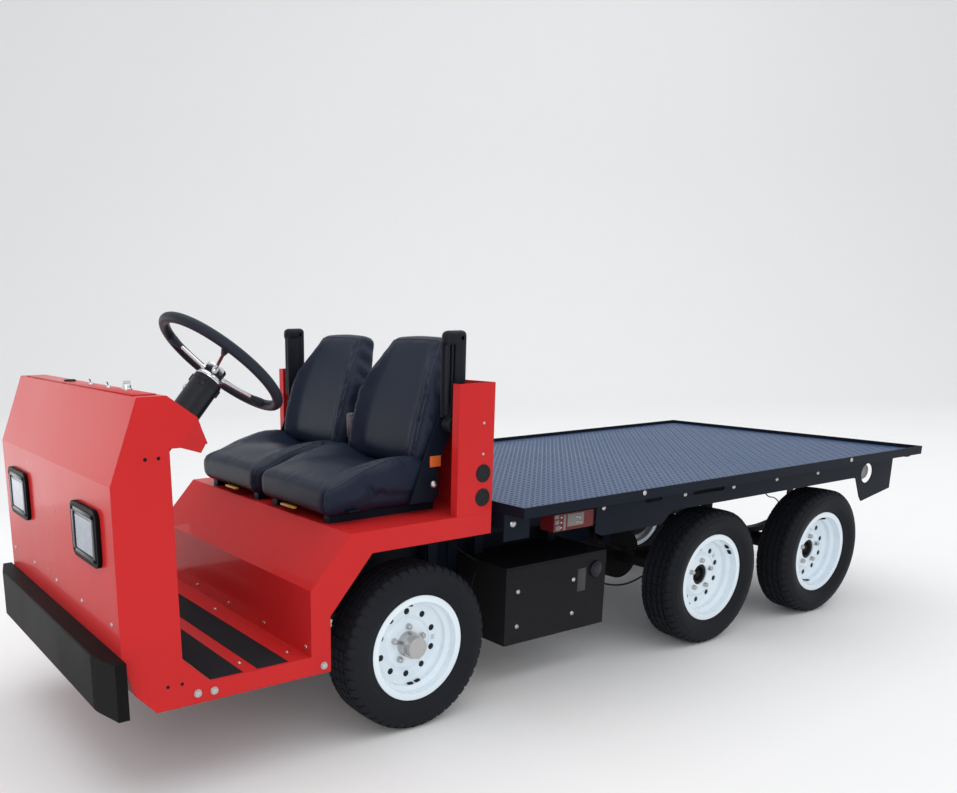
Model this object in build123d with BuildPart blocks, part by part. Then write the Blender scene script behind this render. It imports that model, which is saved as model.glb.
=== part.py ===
# Six-wheeled burden carrier with a flat load deck, two sliding seats and an open folded-steel cab.
# Frame: +X is the vehicle's left, +Y its rear, +Z up. The origin lies on the ground, half way along.
from build123d import *
from math import cos, radians, sin
import os

os.makedirs("parts", exist_ok=True)

WELD_LAP = 1.0

# Wheels and axles
TYRE_R = 264.0
TYRE_WIDTH = 150.0
TREAD_HALF = 56.0
TREAD_FLAT_HALF = 40.0
TREAD_CROWN = 2.0
SIDEWALL = ((4.0, 194.0), (0.0, 215.0), (3.0, 236.0), (10.0, 253.0))
BEAD_FIT = 0.5
BEAD_SEAT_FIT = 0.3
BEAD_BULGE = 5.0
FLANGE_GAP = 1.0
FLANGE_COVER = 3.0
RIM_FLANGE_R = 169.0
RIM_SEAT_R = 152.0
RIM_WELL_R = 138.0
RIM_HALF = 53.5
RIM_LEDGE_HALF = 29.4
RIM_WELL_HALF = 20.3
RIM_WALL = 4.0
WHEEL_X = 473.5
DISC_OFFSET = 4.5
DISC_WALL = 5.0
DISC_PAD_R = 78.0
DISC_EDGE_R = 126.0
DISC_EDGE_RISE = 3.0
DISH_OUTER_R = 117.0
DISH_INNER_R = 90.0
DISC_DISH = 8.0
DISC_CUT = 30.0
CENTRE_BORE_R = 40.5
LUG_CIRCLE_R = 57.15
LUG_HOLE_R = 6.75
LUG_COUNT = 5
VENT_CIRCLE_R = 103.0
VENT_R = 10.5
VENT_COUNT = 10
HUB_FLANGE_R = 70.0
HUB_FLANGE_WALL = 8.0
HUB_R = 36.0
HUB_REACH = 32.0
CAP_R = 33.0
CAP_REACH = 53.0
HUB_BORE_DEPTH = 20.0
HUB_BORE_WALL = 6.0
SPINDLE_GAP = 3.0
DRUM_R = 115.0
DRUM_DEPTH = 33.0
DRUM_WALL = 6.0
SPINDLE_R = 15.0
SHAFT_CLEARANCE = 0.05
FRONT_AXLE_Y = -812.0
MIDDLE_AXLE_Y = 605.0
REAR_AXLE_Y = 1321.0

# Front axle, knuckles and steering links
BEAM_DEPTH = 50.0
BEAM_HALF_HEIGHT = 32.0
KINGPIN_X = 385.0
KINGPIN_R = 12.0
KINGPIN_BOSS_R = 24.0
KINGPIN_BOSS_HALF = 36.0
WEB_GAP = 3.0
WEB_WALL = 16.0
WEB_HALF = 30.0
LUG_WALL = 18.0
LUG_GAP = 0.1
ARM_WALL = 12.0
ARM_WIDTH = 28.0
STEER_ARM = 165.0
TRACK_ARM = 130.0
LINK_R = 10.0
LINK_EYE_HALF = 12.0
LINK_EYE_R = 16.0
BALL_PIN_R = 8.0
LINK_GAP = 0.1
PITMAN_Y = -1600.0
PITMAN_SHAFT_R = 15.0

# Rear axles and leaf springs
AXLE_TUBE_R = 32.0
DIFF_R = 105.0
DIFF_HALF = 90.0
BACKPLATE_R = 112.0
BACKPLATE_WALL = 6.0
SPINDLE_SETBACK = 6.0
SPRING_X = 225.0
SPRING_WIDTH = 36.0
SPRING_HALF_SPAN = 275.0
LEAF_WALL = 8.0
LEAF_COUNT = 3
LEAF_STEP = 80.0
SPRING_RISE = 70.0
SPRING_EYE_R = 16.0
SPRING_PIN_R = 7.0
EYE_CLEARANCE = 0.1

# Chassis
RAIL_WIDTH = 50.0
RAIL_HEIGHT = 100.0
RAIL_WALL = 5.0
RAIL_TOP_Z = 600.0
RAIL_FRONT_Y = -1120.0
RAIL_REAR_Y = 1790.0
BEARER_WIDTH = 40.0
BEARER_WALL = 5.0
LEG_TOP_OVERLAP = 5.0
LEG_LAP = 10.0
SILL_INSET = 8.0
SEAT_BEARER_INSET = 45.0
TOE_MEMBER_INSET = 27.0
LEG_MEMBER_INSET = 30.0
HANGER_WALL = 6.0
CHEEK_HALF = 22.0
CHEEK_TAIL = 4.0
EQUALISER_RISE = 35.0
EQUALISER_PIN_R = 10.0
EQUALISER_BLOCK_HALF = 13.0
ROCKER_HALF = 14.0
ROCKER_END = 18.0
ROCKER_TOP = 18.0
SKIRT_WALL = 4.0
SKIRT_FRONT_Y = -75.0
SKIRT_REAR_Y = 1777.0
SKIRT_LOW_Z = 565.0
SKIRT_NOSE = [(SKIRT_FRONT_Y, 535.0), (-40.0, 520.0), (265.0, 520.0), (320.0, SKIRT_LOW_Z)]
SKIRT_TAIL = [(1500.0, SKIRT_LOW_Z), (1545.0, 478.0), (1564.0, 457.0), (SKIRT_REAR_Y, 493.0)]
SKIRT_SLOTS = ((214.0, 88.0), (520.0, 180.0))
SKIRT_SLOT_Z = 617.0
SKIRT_SLOT_HEIGHT = 14.0
SKIRT_HOLE_Y = 1582.0
SKIRT_HOLE_Z = 577.0
SKIRT_HOLE_R = 42.0
NOSE_FRONT_Y = -490.0
NOSE_REAR_Y = -380.0
NOSE_LOW_Z = 560.0
REAR_BEARER_WIDTH = 30.0
REAR_BEARER_HEIGHT = 30.0
REAR_BEARER_INSET = 38.0

# Load deck
DECK_OVERHANG = 92.0
DECK_FRONT_Y = -495.0
DECK_REAR_Y = 1818.0
DECK_RIM_TOP_Z = 685.0
DECK_RIM_HEIGHT = 34.0
DECK_RIM_WALL = 4.0
DECK_RIM_FLANGE = 34.0
DECK_PLATE_DROP = 15.0
DECK_PLATE_WALL = 4.0

# Folded body: heights and stations of its outline, seen from the side
SHEET = 3.0
BODY_HALF = 546.0
SILL_Z = 265.0
FLOOR_Z = 321.0
FLOOR_INSET = 14.0
SEAT_Z = 664.0
FRONT_Y = -1760.0
TOE_Y = -1674.0
CHIN_Y = -1731.0
CHIN_LOW_Z = 327.0
CHIN_Z = 427.0
SHOULDER_Z = 870.0
TOP_Y = -1680.0
TOP_Z = 1081.0
BROW_Y = -1602.0
DASH_TOP_Y = -1523.0
DASH_TOP_Z = 1023.0
DASH_Y = -1482.0
DASH_Z = 951.0
EAR_Y = -1499.0
EAR_Z = 925.0
EAR_FRONT_Y = -1572.0
EAR_BEND = 24.0
DOOR_FOOT_Y = -1596.0
DOOR_FOOT_Z = 394.0
DOOR_SILL_Y = -1522.0
RISER_Y = -1204.0
RISER_FOLD_Z = 517.0
SEAT_FRONT_Y = -1069.0
SEAT_REAR_Y = -545.0
ARCH_FRONT_Y = -1139.0
ARCH_LOW_Z = 432.0
ARCH_TOP_Y = -994.0
ARCH_Z = 597.0
POST_FRONT_Y = -684.0
POST_TOP_Z = 1064.0
POST_FLANGE = 30.0

# Bumper and headlights
BUMPER_Y = -1817.0
BUMPER_SIDE_Y = -1789.0
BUMPER_HALF = 583.0
BUMPER_FLAT_HALF = 472.0
BUMPER_LOW_Z = 281.0
BUMPER_TOP_Z = 433.0
BUMPER_ROUND = 6.0
BUMPER_PAD_HALF = 40.0
LAMP_X = 345.0
LAMP_Z = 720.0
LAMP_WIDTH = 215.0
LAMP_HEIGHT = 152.0
LAMP_CORNER = 26.0
LAMP_PROUD = 12.0
LAMP_FRAME = 26.0
LAMP_BUCKET_DEPTH = 70.0
LAMP_FIT = 0.2
LENS_WALL = 4.0

# Seats
SEAT_GAP = 10.0
SEAT_SIDE_GAP = 1.0
CUSHION_FRONT_Y = -1085.0
CUSHION_REAR_Y = -645.0
CUSHION_Z = 706.0
CUSHION_HEIGHT = 92.0
CUSHION_CORNER = 50.0
CUSHION_ROUND = 26.0
BACK_FOOT_Y = -722.0
BACK_FOOT_Z = 800.0
BACK_HEIGHT = 420.0
BACK_INSET = 10.0
BACK_TOP_INSET = 85.0
BACK_SHOULDER = 0.55
BACK_SHOULDER_R = 50.0
BACK_ROUND = 22.0
BACK_WALL = 78.0
BACK_LEAN = 14.0
TRACK_INSET = 60.0
TRACK_WIDTH = 30.0
TRACK_HEIGHT = 22.0
TRACK_FRONT_Y = -1050.0
TRACK_REAR_Y = -660.0
SLIDER_HEIGHT = 19.0
SLIDE_GAP = 0.3
SEAT_CROSS_FRONT = 60.0
SEAT_CROSS_REAR = 60.0
SEAT_CROSS_HALF = 20.0
SEAT_CROSS_WALL = 5.0
ARMREST_CLEARANCE = 19.0
ARMREST_WIDTH = 38.0
ARMREST_PIVOT_Y = -658.0
ARMREST_PIVOT_Z = 936.0
ARMREST_EYE = ((-26.0, 60.0), (-18.0, -18.0), (22.0, -18.0), (40.0, 50.0))
ARMREST_REAR = 44.0
ARMREST_ROUND = 24.0
ARMREST_TOP_Z = 1217.0
ARMREST_DEPTH = 70.0
ARMREST_PIN_R = 8.0
PIN_HEAD = 4.0
BRACKET_WALL = 5.0
BRACKET_GAP = 8.0
BRACKET_HEAD = 24.0
BRACKET_FRONT = 94.0
BRACKET_FOOT_FRONT = 132.0
BRACKET_FOOT_REAR = 44.0
BRACKET_KNEE_Z = 800.0
BRACKET_HEEL = 36.0

# Steering column
STEER_X = 290.0
STEER_Y = -1332.0
STEER_Z = 1140.0
STEER_TILT = 41.3
STEER_RIM_R = 191.0
STEER_GRIP_R = 15.0
STEER_SPOKE_R = 5.0
STEER_HUB_R = 30.0
STEER_HUB_DROP = 62.0
STEER_HUB_HEIGHT = 40.0
SPOKE_ANGLES = (95.0, 215.0, 335.0)
HOUSING_R = 42.0
HOUSING_LENGTH = 125.0
COLUMN_R = 28.0
COLUMN_LENGTH = 335.0
COLUMN_FIT = 0.2

# Steering gear and boxes
GEAR_HEIGHT = 40.0
GEAR_MARGIN = 40.0
GEAR_HALF = 45.0
GEAR_LID = 10.0
GEAR_NECK_R = 25.0
GEAR_NECK_GAP = 4.0
SHAFT_R = 11.0
SHAFT_END_GAP = 2.0
SHAFT_OFFSET = 22.0
JOINT_R = 19.0
JOINT_DROP = 40.0
JOINT_HEIGHT = 32.0
BOX_INNER_X = 210.0
BOX_INSET = 86.0
BOX_HANGER_INSET = 60.0
BOX_Y = (-391.0, 87.0)
BOX_Z = (161.0, 436.0)
POWER_HALF = 200.0
POWER_Y = (-430.0, 280.0)
POWER_Z = (390.0, 590.0)
MODULE_WIDTH = 60.0
MODULE_GAP = 2.0
MODULE_Y = (-266.0, -80.0)
MODULE_Z = (560.0, 618.0)

# Values worked out from those above
DECK_HALF = BODY_HALF + DECK_OVERHANG
REAR_BEARER_HALF = DECK_HALF - REAR_BEARER_INSET
RAIL_LOW_Z = RAIL_TOP_Z - RAIL_HEIGHT
RAIL_INNER_X = SPRING_X - RAIL_WIDTH / 2
RAIL_OUTER_X = SPRING_X + RAIL_WIDTH / 2
DECK_PLATE_Z = DECK_RIM_TOP_Z - DECK_PLATE_DROP
BEARER_TOP_Z = DECK_PLATE_Z - DECK_PLATE_WALL
BODY_INNER = BODY_HALF - SHEET
SKIRT_INNER = BODY_HALF - SKIRT_WALL
BOX_X = (BOX_INNER_X, BODY_HALF - BOX_INSET)
MODULE_X = (SKIRT_INNER - MODULE_GAP - MODULE_WIDTH, SKIRT_INNER - MODULE_GAP)
ARM_OUTER_X = BODY_HALF - POST_FLANGE - ARMREST_CLEARANCE
ARM_INNER_X = ARM_OUTER_X - ARMREST_WIDTH
BRACKET_X = ARM_INNER_X - BRACKET_GAP - BRACKET_WALL
CUSHION_WIDTH = BRACKET_X - SEAT_SIDE_GAP - SEAT_GAP / 2
SEAT_X = (CUSHION_WIDTH + SEAT_GAP) / 2
BACK_WIDTH = CUSHION_WIDTH - 2 * BACK_INSET
BACK_TOP_WIDTH = CUSHION_WIDTH - 2 * BACK_TOP_INSET
TRACK_HALF = CUSHION_WIDTH / 2 - TRACK_INSET
DISC_X = WHEEL_X + DISC_OFFSET
HUB_FACE_X = DISC_X - DISC_WALL
DRUM_X = HUB_FACE_X - HUB_FLANGE_WALL - DRUM_DEPTH
SPINDLE_END_X = DISC_X + HUB_REACH
EYE_Z = TYRE_R + BEAM_HALF_HEIGHT + LEAF_WALL * LEAF_COUNT + SPRING_RISE
ARM_LOW_Z = TYRE_R - KINGPIN_BOSS_HALF - LUG_GAP - LUG_WALL
LINK_TOP_Z = ARM_LOW_Z - LINK_GAP
BEARER_YS = (-470.0, -60.0, 400.0, 905.0, 1450.0)


def folded_strip(points, wall):
    """Outline of a sheet folded along the points, its wall on the right of the path."""
    normals = []
    for (a, b), (c, d) in zip(points, points[1:]):
        length = ((c - a) ** 2 + (d - b) ** 2) ** 0.5
        normals.append(((d - b) / length, (a - c) / length))
    inner = []
    for index, (a, b) in enumerate(points):
        before = normals[max(index - 1, 0)]
        after = normals[min(index, len(normals) - 1)]
        scale = wall / (1 + before[0] * after[0] + before[1] * after[1])
        inner.append((a + (before[0] + after[0]) * scale, b + (before[1] + after[1]) * scale))
    return list(points) + inner[::-1]


def finish(builder, name):
    """Label a finished piece and write it."""
    builder.part.label = name
    export_step(builder.part, f"parts/{name}.step")


def block(x, y, z, mode=Mode.ADD):
    """A square-cornered block between two values on each axis."""
    with BuildSketch(Plane.XY.offset(z[0])) as base:
        with Locations(((x[0] + x[1]) / 2, (y[0] + y[1]) / 2)):
            Rectangle(abs(x[1] - x[0]), y[1] - y[0])
    extrude(base.sketch, amount=z[1] - z[0], mode=mode)


def side_plate(outline, x_from, x_to, mode=Mode.ADD):
    """A flat plate parallel to the vehicle's side, from its (y, z) outline."""
    with BuildSketch(Plane.YZ.offset(x_from)) as profile:
        Polygon(*outline, align=None)
    extrude(profile.sketch, amount=x_to - x_from, dir=(1, 0, 0), mode=mode)


def upright(x, y, z_from, z_to, radius, mode=Mode.ADD):
    """A round bar or bore along Z."""
    with BuildSketch(Plane.XY.offset(z_from)) as section:
        with Locations((x, y)):
            Circle(radius)
    extrude(section.sketch, amount=z_to - z_from, mode=mode)


def crosswise(x_from, x_to, y, z, radius, mode=Mode.ADD):
    """A round bar or bore along X."""
    with BuildSketch(Plane.YZ.offset(x_from)) as section:
        with Locations((y, z)):
            Circle(radius)
    extrude(section.sketch, amount=x_to - x_from, mode=mode)


def turned(outline, side, axle_y):
    """A body of revolution about a wheel's axis, from (distance inboard to outboard, radius) points."""
    with BuildSketch(Plane(origin=(0, axle_y, TYRE_R), x_dir=(1, 0, 0), z_dir=(0, -1, 0))) as profile:
        Polygon(*[(side * x, r) for x, r in outline], align=None)
    revolve(profile.sketch, axis=Axis((0, axle_y, TYRE_R), (1, 0, 0)))


# Chassis: two channel rails, a stepped front that carries the floor, bearers and side plates
def channel_outline(x_open, x_web, low, high, wall):
    """A channel's outline in the XZ plane, its web at x_web and its mouth at x_open."""
    inner = x_web - wall if x_web > x_open else x_web + wall
    return [(x_open, high), (x_web, high), (x_web, low), (x_open, low),
            (x_open, low + wall), (inner, low + wall), (inner, high - wall), (x_open, high - wall)]


def lengthwise(outline, y_from, y_to):
    """Extrude an outline given in (x, z) along Y."""
    with BuildSketch(Plane(origin=(0, y_from, 0), x_dir=(1, 0, 0), z_dir=(0, -1, 0))) as profile:
        Polygon(*outline, align=None)
    extrude(profile.sketch, amount=y_to - y_from, dir=(0, 1, 0))


FLOOR_LOW_Z = FLOOR_Z - SHEET
LEG_FRONT_Y = RISER_Y + SHEET
LEG_REAR_Y = RAIL_FRONT_Y + LEG_LAP
EQUALISER_Y = (MIDDLE_AXLE_Y + REAR_AXLE_Y) / 2
EQUALISER_Z = EYE_Z + EQUALISER_RISE


def spring_hanger(side, eye_y):
    """Two cheeks below a rail, with the pin that a spring eye hangs on."""
    tail_z = EYE_Z - SPRING_EYE_R - CHEEK_TAIL
    cheek = [(eye_y - CHEEK_HALF, RAIL_LOW_Z + WELD_LAP), (eye_y - SPRING_EYE_R, tail_z),
             (eye_y + SPRING_EYE_R, tail_z), (eye_y + CHEEK_HALF, RAIL_LOW_Z + WELD_LAP)]
    side_plate(cheek, side * RAIL_INNER_X, side * (RAIL_INNER_X + HANGER_WALL))
    side_plate(cheek, side * RAIL_OUTER_X, side * (RAIL_OUTER_X - HANGER_WALL))
    crosswise(side * RAIL_INNER_X, side * RAIL_OUTER_X, eye_y, EYE_Z, SPRING_PIN_R)


with BuildPart() as chassis_rails:
    for side in (-1, 1):
        rail = channel_outline(side * RAIL_INNER_X, side * RAIL_OUTER_X, RAIL_LOW_Z, RAIL_TOP_Z, RAIL_WALL)
        lengthwise(rail, RAIL_FRONT_Y, RAIL_REAR_Y)
        sill = channel_outline(side * RAIL_INNER_X, side * RAIL_OUTER_X, SILL_Z, FLOOR_LOW_Z, RAIL_WALL)
        lengthwise(sill, TOE_Y + SILL_INSET, LEG_REAR_Y)
        rail_x = sorted((side * RAIL_INNER_X, side * RAIL_OUTER_X))
        block(rail_x, (LEG_FRONT_Y, LEG_REAR_Y), (FLOOR_LOW_Z, RAIL_LOW_Z + LEG_TOP_OVERLAP))
        for eye_y in (FRONT_AXLE_Y - SPRING_HALF_SPAN, FRONT_AXLE_Y + SPRING_HALF_SPAN,
                      MIDDLE_AXLE_Y - SPRING_HALF_SPAN, REAR_AXLE_Y + SPRING_HALF_SPAN):
            spring_hanger(side, eye_y)
        pivot_x = sorted((side * (SPRING_X - EQUALISER_BLOCK_HALF), side * (SPRING_X + EQUALISER_BLOCK_HALF)))
        block(pivot_x, (EQUALISER_Y - CHEEK_HALF, EQUALISER_Y + CHEEK_HALF),
              (EQUALISER_Z - CHEEK_HALF, RAIL_LOW_Z + WELD_LAP))
        crosswise(side * RAIL_INNER_X, side * RAIL_OUTER_X, EQUALISER_Y, EQUALISER_Z,
                  EQUALISER_PIN_R + EYE_CLEARANCE, mode=Mode.SUBTRACT)
    for hang_y in (BOX_Y[0] + BOX_HANGER_INSET, BOX_Y[1] - BOX_HANGER_INSET):
        block((BOX_X[0], RAIL_OUTER_X), (hang_y - BEARER_WIDTH / 2, hang_y + BEARER_WIDTH / 2),
              (BOX_Z[1], RAIL_LOW_Z + WELD_LAP))
finish(chassis_rails, "chassis_rails")

# Cross members: deck bearers on the rails, seat bearers, and the floor's cross members between the sills
with BuildPart() as cross_members:
    for bearer_y in BEARER_YS:
        near = bearer_y - BEARER_WIDTH / 2
        far = bearer_y + BEARER_WIDTH / 2
        block((-SKIRT_INNER, SKIRT_INNER), (near, far), (RAIL_TOP_Z, BEARER_TOP_Z))
        block((-SKIRT_INNER, SKIRT_INNER), (near + BEARER_WALL, far - BEARER_WALL),
              (RAIL_TOP_Z + BEARER_WALL, BEARER_TOP_Z - BEARER_WALL), mode=Mode.SUBTRACT)
    block((-REAR_BEARER_HALF, REAR_BEARER_HALF),
          (SKIRT_REAR_Y, SKIRT_REAR_Y + REAR_BEARER_WIDTH), (BEARER_TOP_Z - REAR_BEARER_HEIGHT, BEARER_TOP_Z))
    block((-SKIRT_INNER, SKIRT_INNER),
          (SKIRT_REAR_Y - BEARER_WIDTH, SKIRT_REAR_Y), (RAIL_TOP_Z, BEARER_TOP_Z))
    for post_y in (SEAT_FRONT_Y + SEAT_BEARER_INSET, SEAT_REAR_Y - SEAT_BEARER_INSET):
        block((-BODY_INNER, BODY_INNER), (post_y - BEARER_WIDTH / 2, post_y + BEARER_WIDTH / 2),
              (RAIL_TOP_Z, SEAT_Z - SHEET))
    for cross_y in (TOE_Y + TOE_MEMBER_INSET, (TOE_Y + LEG_FRONT_Y) / 2, LEG_FRONT_Y - LEG_MEMBER_INSET):
        for x_range in ((-BODY_INNER, -RAIL_OUTER_X), (-RAIL_INNER_X, RAIL_INNER_X),
                        (RAIL_OUTER_X, BODY_INNER)):
            block(x_range, (cross_y - BEARER_WIDTH / 2, cross_y + BEARER_WIDTH / 2), (SILL_Z, FLOOR_LOW_Z))
finish(cross_members, "cross_members")

# Side plates under the deck edge, dropped behind the rear wheels and before the middle ones
with BuildPart() as side_skirts:
    for side in (-1, 1):
        outer = side * BODY_HALF
        inner = side * SKIRT_INNER
        skirt = [(SKIRT_FRONT_Y, BEARER_TOP_Z), *SKIRT_NOSE, *SKIRT_TAIL, (SKIRT_REAR_Y, BEARER_TOP_Z)]
        side_plate(skirt, inner, outer)
        nose = [(NOSE_FRONT_Y, BEARER_TOP_Z), (NOSE_FRONT_Y, NOSE_LOW_Z), (NOSE_REAR_Y, NOSE_LOW_Z),
                (NOSE_REAR_Y, BEARER_TOP_Z)]
        side_plate(nose, inner, outer)
        for slot_y, slot_length in SKIRT_SLOTS:
            with BuildSketch(Plane.YZ.offset(inner)) as slot:
                with Locations((slot_y, SKIRT_SLOT_Z)):
                    SlotOverall(slot_length, SKIRT_SLOT_HEIGHT)
            extrude(slot.sketch, amount=outer - inner, mode=Mode.SUBTRACT)
        crosswise(inner, outer, SKIRT_HOLE_Y, SKIRT_HOLE_Z, SKIRT_HOLE_R, mode=Mode.SUBTRACT)
finish(side_skirts, "side_skirts")

# Load deck: a chequered plate lying in a folded rim
with BuildPart() as deck_plate:
    block((-DECK_HALF + DECK_RIM_WALL, DECK_HALF - DECK_RIM_WALL),
          (DECK_FRONT_Y + DECK_RIM_WALL, DECK_REAR_Y - DECK_RIM_WALL), (BEARER_TOP_Z, DECK_PLATE_Z))
finish(deck_plate, "deck_plate")

with BuildPart() as deck_rim:
    rim_low = DECK_RIM_TOP_Z - DECK_RIM_HEIGHT
    block((-DECK_HALF, DECK_HALF), (DECK_FRONT_Y, DECK_REAR_Y), (rim_low, DECK_RIM_TOP_Z))
    block((-DECK_HALF + DECK_RIM_WALL, DECK_HALF - DECK_RIM_WALL),
          (DECK_FRONT_Y + DECK_RIM_WALL, DECK_REAR_Y - DECK_RIM_WALL),
          (rim_low + DECK_RIM_WALL, DECK_RIM_TOP_Z), mode=Mode.SUBTRACT)
    block((-DECK_HALF + DECK_RIM_FLANGE, DECK_HALF - DECK_RIM_FLANGE),
          (DECK_FRONT_Y + DECK_RIM_WALL, DECK_REAR_Y - DECK_RIM_WALL),
          (rim_low, DECK_RIM_TOP_Z), mode=Mode.SUBTRACT)
finish(deck_rim, "deck_rim")

# Body sides: one plate on each side from the cowl to the back of the seat base
SIDE_OUTLINE = [
    (TOP_Y, TOP_Z), (FRONT_Y, SHOULDER_Z), (FRONT_Y, CHIN_Z), (CHIN_Y, CHIN_LOW_Z), (TOE_Y, SILL_Z),
    (ARCH_FRONT_Y, SILL_Z), (ARCH_FRONT_Y, ARCH_LOW_Z), (ARCH_TOP_Y, ARCH_Z), (SEAT_REAR_Y, ARCH_Z),
    (SEAT_REAR_Y, SEAT_Z), (SEAT_FRONT_Y, SEAT_Z), (RISER_Y, RISER_FOLD_Z), (RISER_Y, FLOOR_Z),
    (DOOR_SILL_Y, FLOOR_Z), (DOOR_FOOT_Y, DOOR_FOOT_Z), (BROW_Y, DASH_Z), (EAR_FRONT_Y, DASH_Z),
    (DASH_TOP_Y, DASH_TOP_Z), (BROW_Y, TOP_Z)]
EAR_OUTLINE = [(EAR_FRONT_Y, DASH_Z), (EAR_Y, EAR_Z), (DASH_Y, DASH_Z), (DASH_TOP_Y, DASH_TOP_Z)]
ear_fold = Vector(0, EAR_FRONT_Y - DASH_TOP_Y, DASH_Z - DASH_TOP_Z)
ear_reach = Vector(0, -ear_fold.Z, ear_fold.Y).normalized()


def ear_plane(side, bend):
    """The plane of a side's rear corner, bent inward about its fold; its y runs away from the fold."""
    lean = side * sin(radians(bend))
    return Plane(origin=(side * BODY_HALF, DASH_TOP_Y, DASH_TOP_Z), x_dir=ear_fold,
                 z_dir=(cos(radians(bend)), lean * ear_reach.Y, lean * ear_reach.Z))


with BuildPart() as body_sides:
    for side in (-1, 1):
        side_plate(SIDE_OUTLINE, side * BODY_HALF, side * BODY_INNER)
        flat = ear_plane(side, 0)
        corners = [flat.to_local_coords(Vector(side * BODY_HALF, y, z)) for y, z in EAR_OUTLINE]
        with BuildSketch(ear_plane(side, EAR_BEND)) as ear:
            Polygon(*[(corner.X, corner.Y) for corner in corners], align=None)
        extrude(ear.sketch, amount=-side * SHEET)
finish(body_sides, "body_sides")

# Cowl: one sheet folded up from the toe over the top and down into the dash
steer_plane = Plane(origin=(STEER_X, STEER_Y, STEER_Z), x_dir=(1, 0, 0),
                    z_dir=(0, sin(radians(STEER_TILT)), cos(radians(STEER_TILT))))
LAMP_HOLE_WIDTH = LAMP_WIDTH - LAMP_FRAME
LAMP_HOLE_HEIGHT = LAMP_HEIGHT - LAMP_FRAME
COWL_PATH = [(TOE_Y, SILL_Z), (CHIN_Y, CHIN_LOW_Z), (FRONT_Y, CHIN_Z), (FRONT_Y, SHOULDER_Z),
             (TOP_Y, TOP_Z), (BROW_Y, TOP_Z), (DASH_TOP_Y, DASH_TOP_Z), (DASH_Y, DASH_Z)]

with BuildPart() as cowl:
    side_plate(folded_strip(COWL_PATH, SHEET), -BODY_INNER, BODY_INNER)
    with BuildSketch(Plane(origin=(0, FRONT_Y, LAMP_Z), x_dir=(1, 0, 0), z_dir=(0, -1, 0))):
        with Locations((-LAMP_X, 0), (LAMP_X, 0)):
            RectangleRounded(LAMP_HOLE_WIDTH, LAMP_HOLE_HEIGHT, LAMP_CORNER - LAMP_FRAME / 2)
    extrude(amount=-SHEET, mode=Mode.SUBTRACT)
    with BuildSketch(steer_plane):
        Circle(COLUMN_R + COLUMN_FIT)
    extrude(amount=-COLUMN_LENGTH, mode=Mode.SUBTRACT)
    for side in (-1, 1):
        with BuildSketch(ear_plane(side, EAR_BEND).offset(-side * SHEET)) as ear_room:
            Rectangle(2 * ear_fold.length, 2 * ear_fold.length, align=(Align.CENTER, Align.MIN))
        extrude(ear_room.sketch, amount=side * BODY_HALF, mode=Mode.SUBTRACT)
finish(cowl, "cowl")

# Floor and seat base: floor, riser, slope, seat deck and rear return folded in one run
BASE_PATH = [(CHIN_Y + FLOOR_INSET, FLOOR_Z), (RISER_Y, FLOOR_Z), (RISER_Y, RISER_FOLD_Z),
             (SEAT_FRONT_Y, SEAT_Z), (SEAT_REAR_Y, SEAT_Z), (SEAT_REAR_Y, RAIL_TOP_Z)]

with BuildPart() as floor_and_seat_base:
    side_plate(folded_strip(BASE_PATH, SHEET), -BODY_INNER, BODY_INNER)
    upright(KINGPIN_X, PITMAN_Y, FLOOR_Z - 2 * SHEET, FLOOR_Z + SHEET, GEAR_NECK_R + COLUMN_FIT,
            mode=Mode.SUBTRACT)
finish(floor_and_seat_base, "floor_and_seat_base")

# Back wall behind the seats, with an open channel post at each end
with BuildPart() as back_wall:
    block((-BODY_HALF, BODY_HALF), (SEAT_REAR_Y - SHEET, SEAT_REAR_Y), (SEAT_Z, POST_TOP_Z))
    for side in (-1, 1):
        x_side = sorted((side * BODY_INNER, side * BODY_HALF))
        block(x_side, (POST_FRONT_Y, SEAT_REAR_Y), (SEAT_Z, POST_TOP_Z))
        x_flange = sorted((side * (BODY_HALF - POST_FLANGE), side * BODY_HALF))
        block(x_flange, (POST_FRONT_Y, POST_FRONT_Y + SHEET), (SEAT_Z, POST_TOP_Z))
finish(back_wall, "back_wall")

# Bumper: a moulded bar with chamfered ends, on two pads that meet the folded chin
with BuildPart() as bumper:
    with BuildSketch(Plane.XY.offset(BUMPER_LOW_Z)):
        Polygon((-BUMPER_FLAT_HALF, BUMPER_Y), (BUMPER_FLAT_HALF, BUMPER_Y), (BUMPER_HALF, BUMPER_SIDE_Y),
                (BUMPER_HALF, FRONT_Y), (-BUMPER_HALF, FRONT_Y), (-BUMPER_HALF, BUMPER_SIDE_Y), align=None)
    extrude(amount=BUMPER_TOP_Z - BUMPER_LOW_Z)
    fillet(bumper.faces().sort_by(Axis.Y)[0].edges().filter_by(Axis.X), BUMPER_ROUND)
    pad = [(FRONT_Y - WELD_LAP, CHIN_LOW_Z), (CHIN_Y, CHIN_LOW_Z), (FRONT_Y, CHIN_Z),
           (FRONT_Y - WELD_LAP, CHIN_Z)]
    for side in (-1, 1):
        side_plate(pad, side * (SPRING_X - BUMPER_PAD_HALF), side * (SPRING_X + BUMPER_PAD_HALF))
finish(bumper, "bumper")

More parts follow.
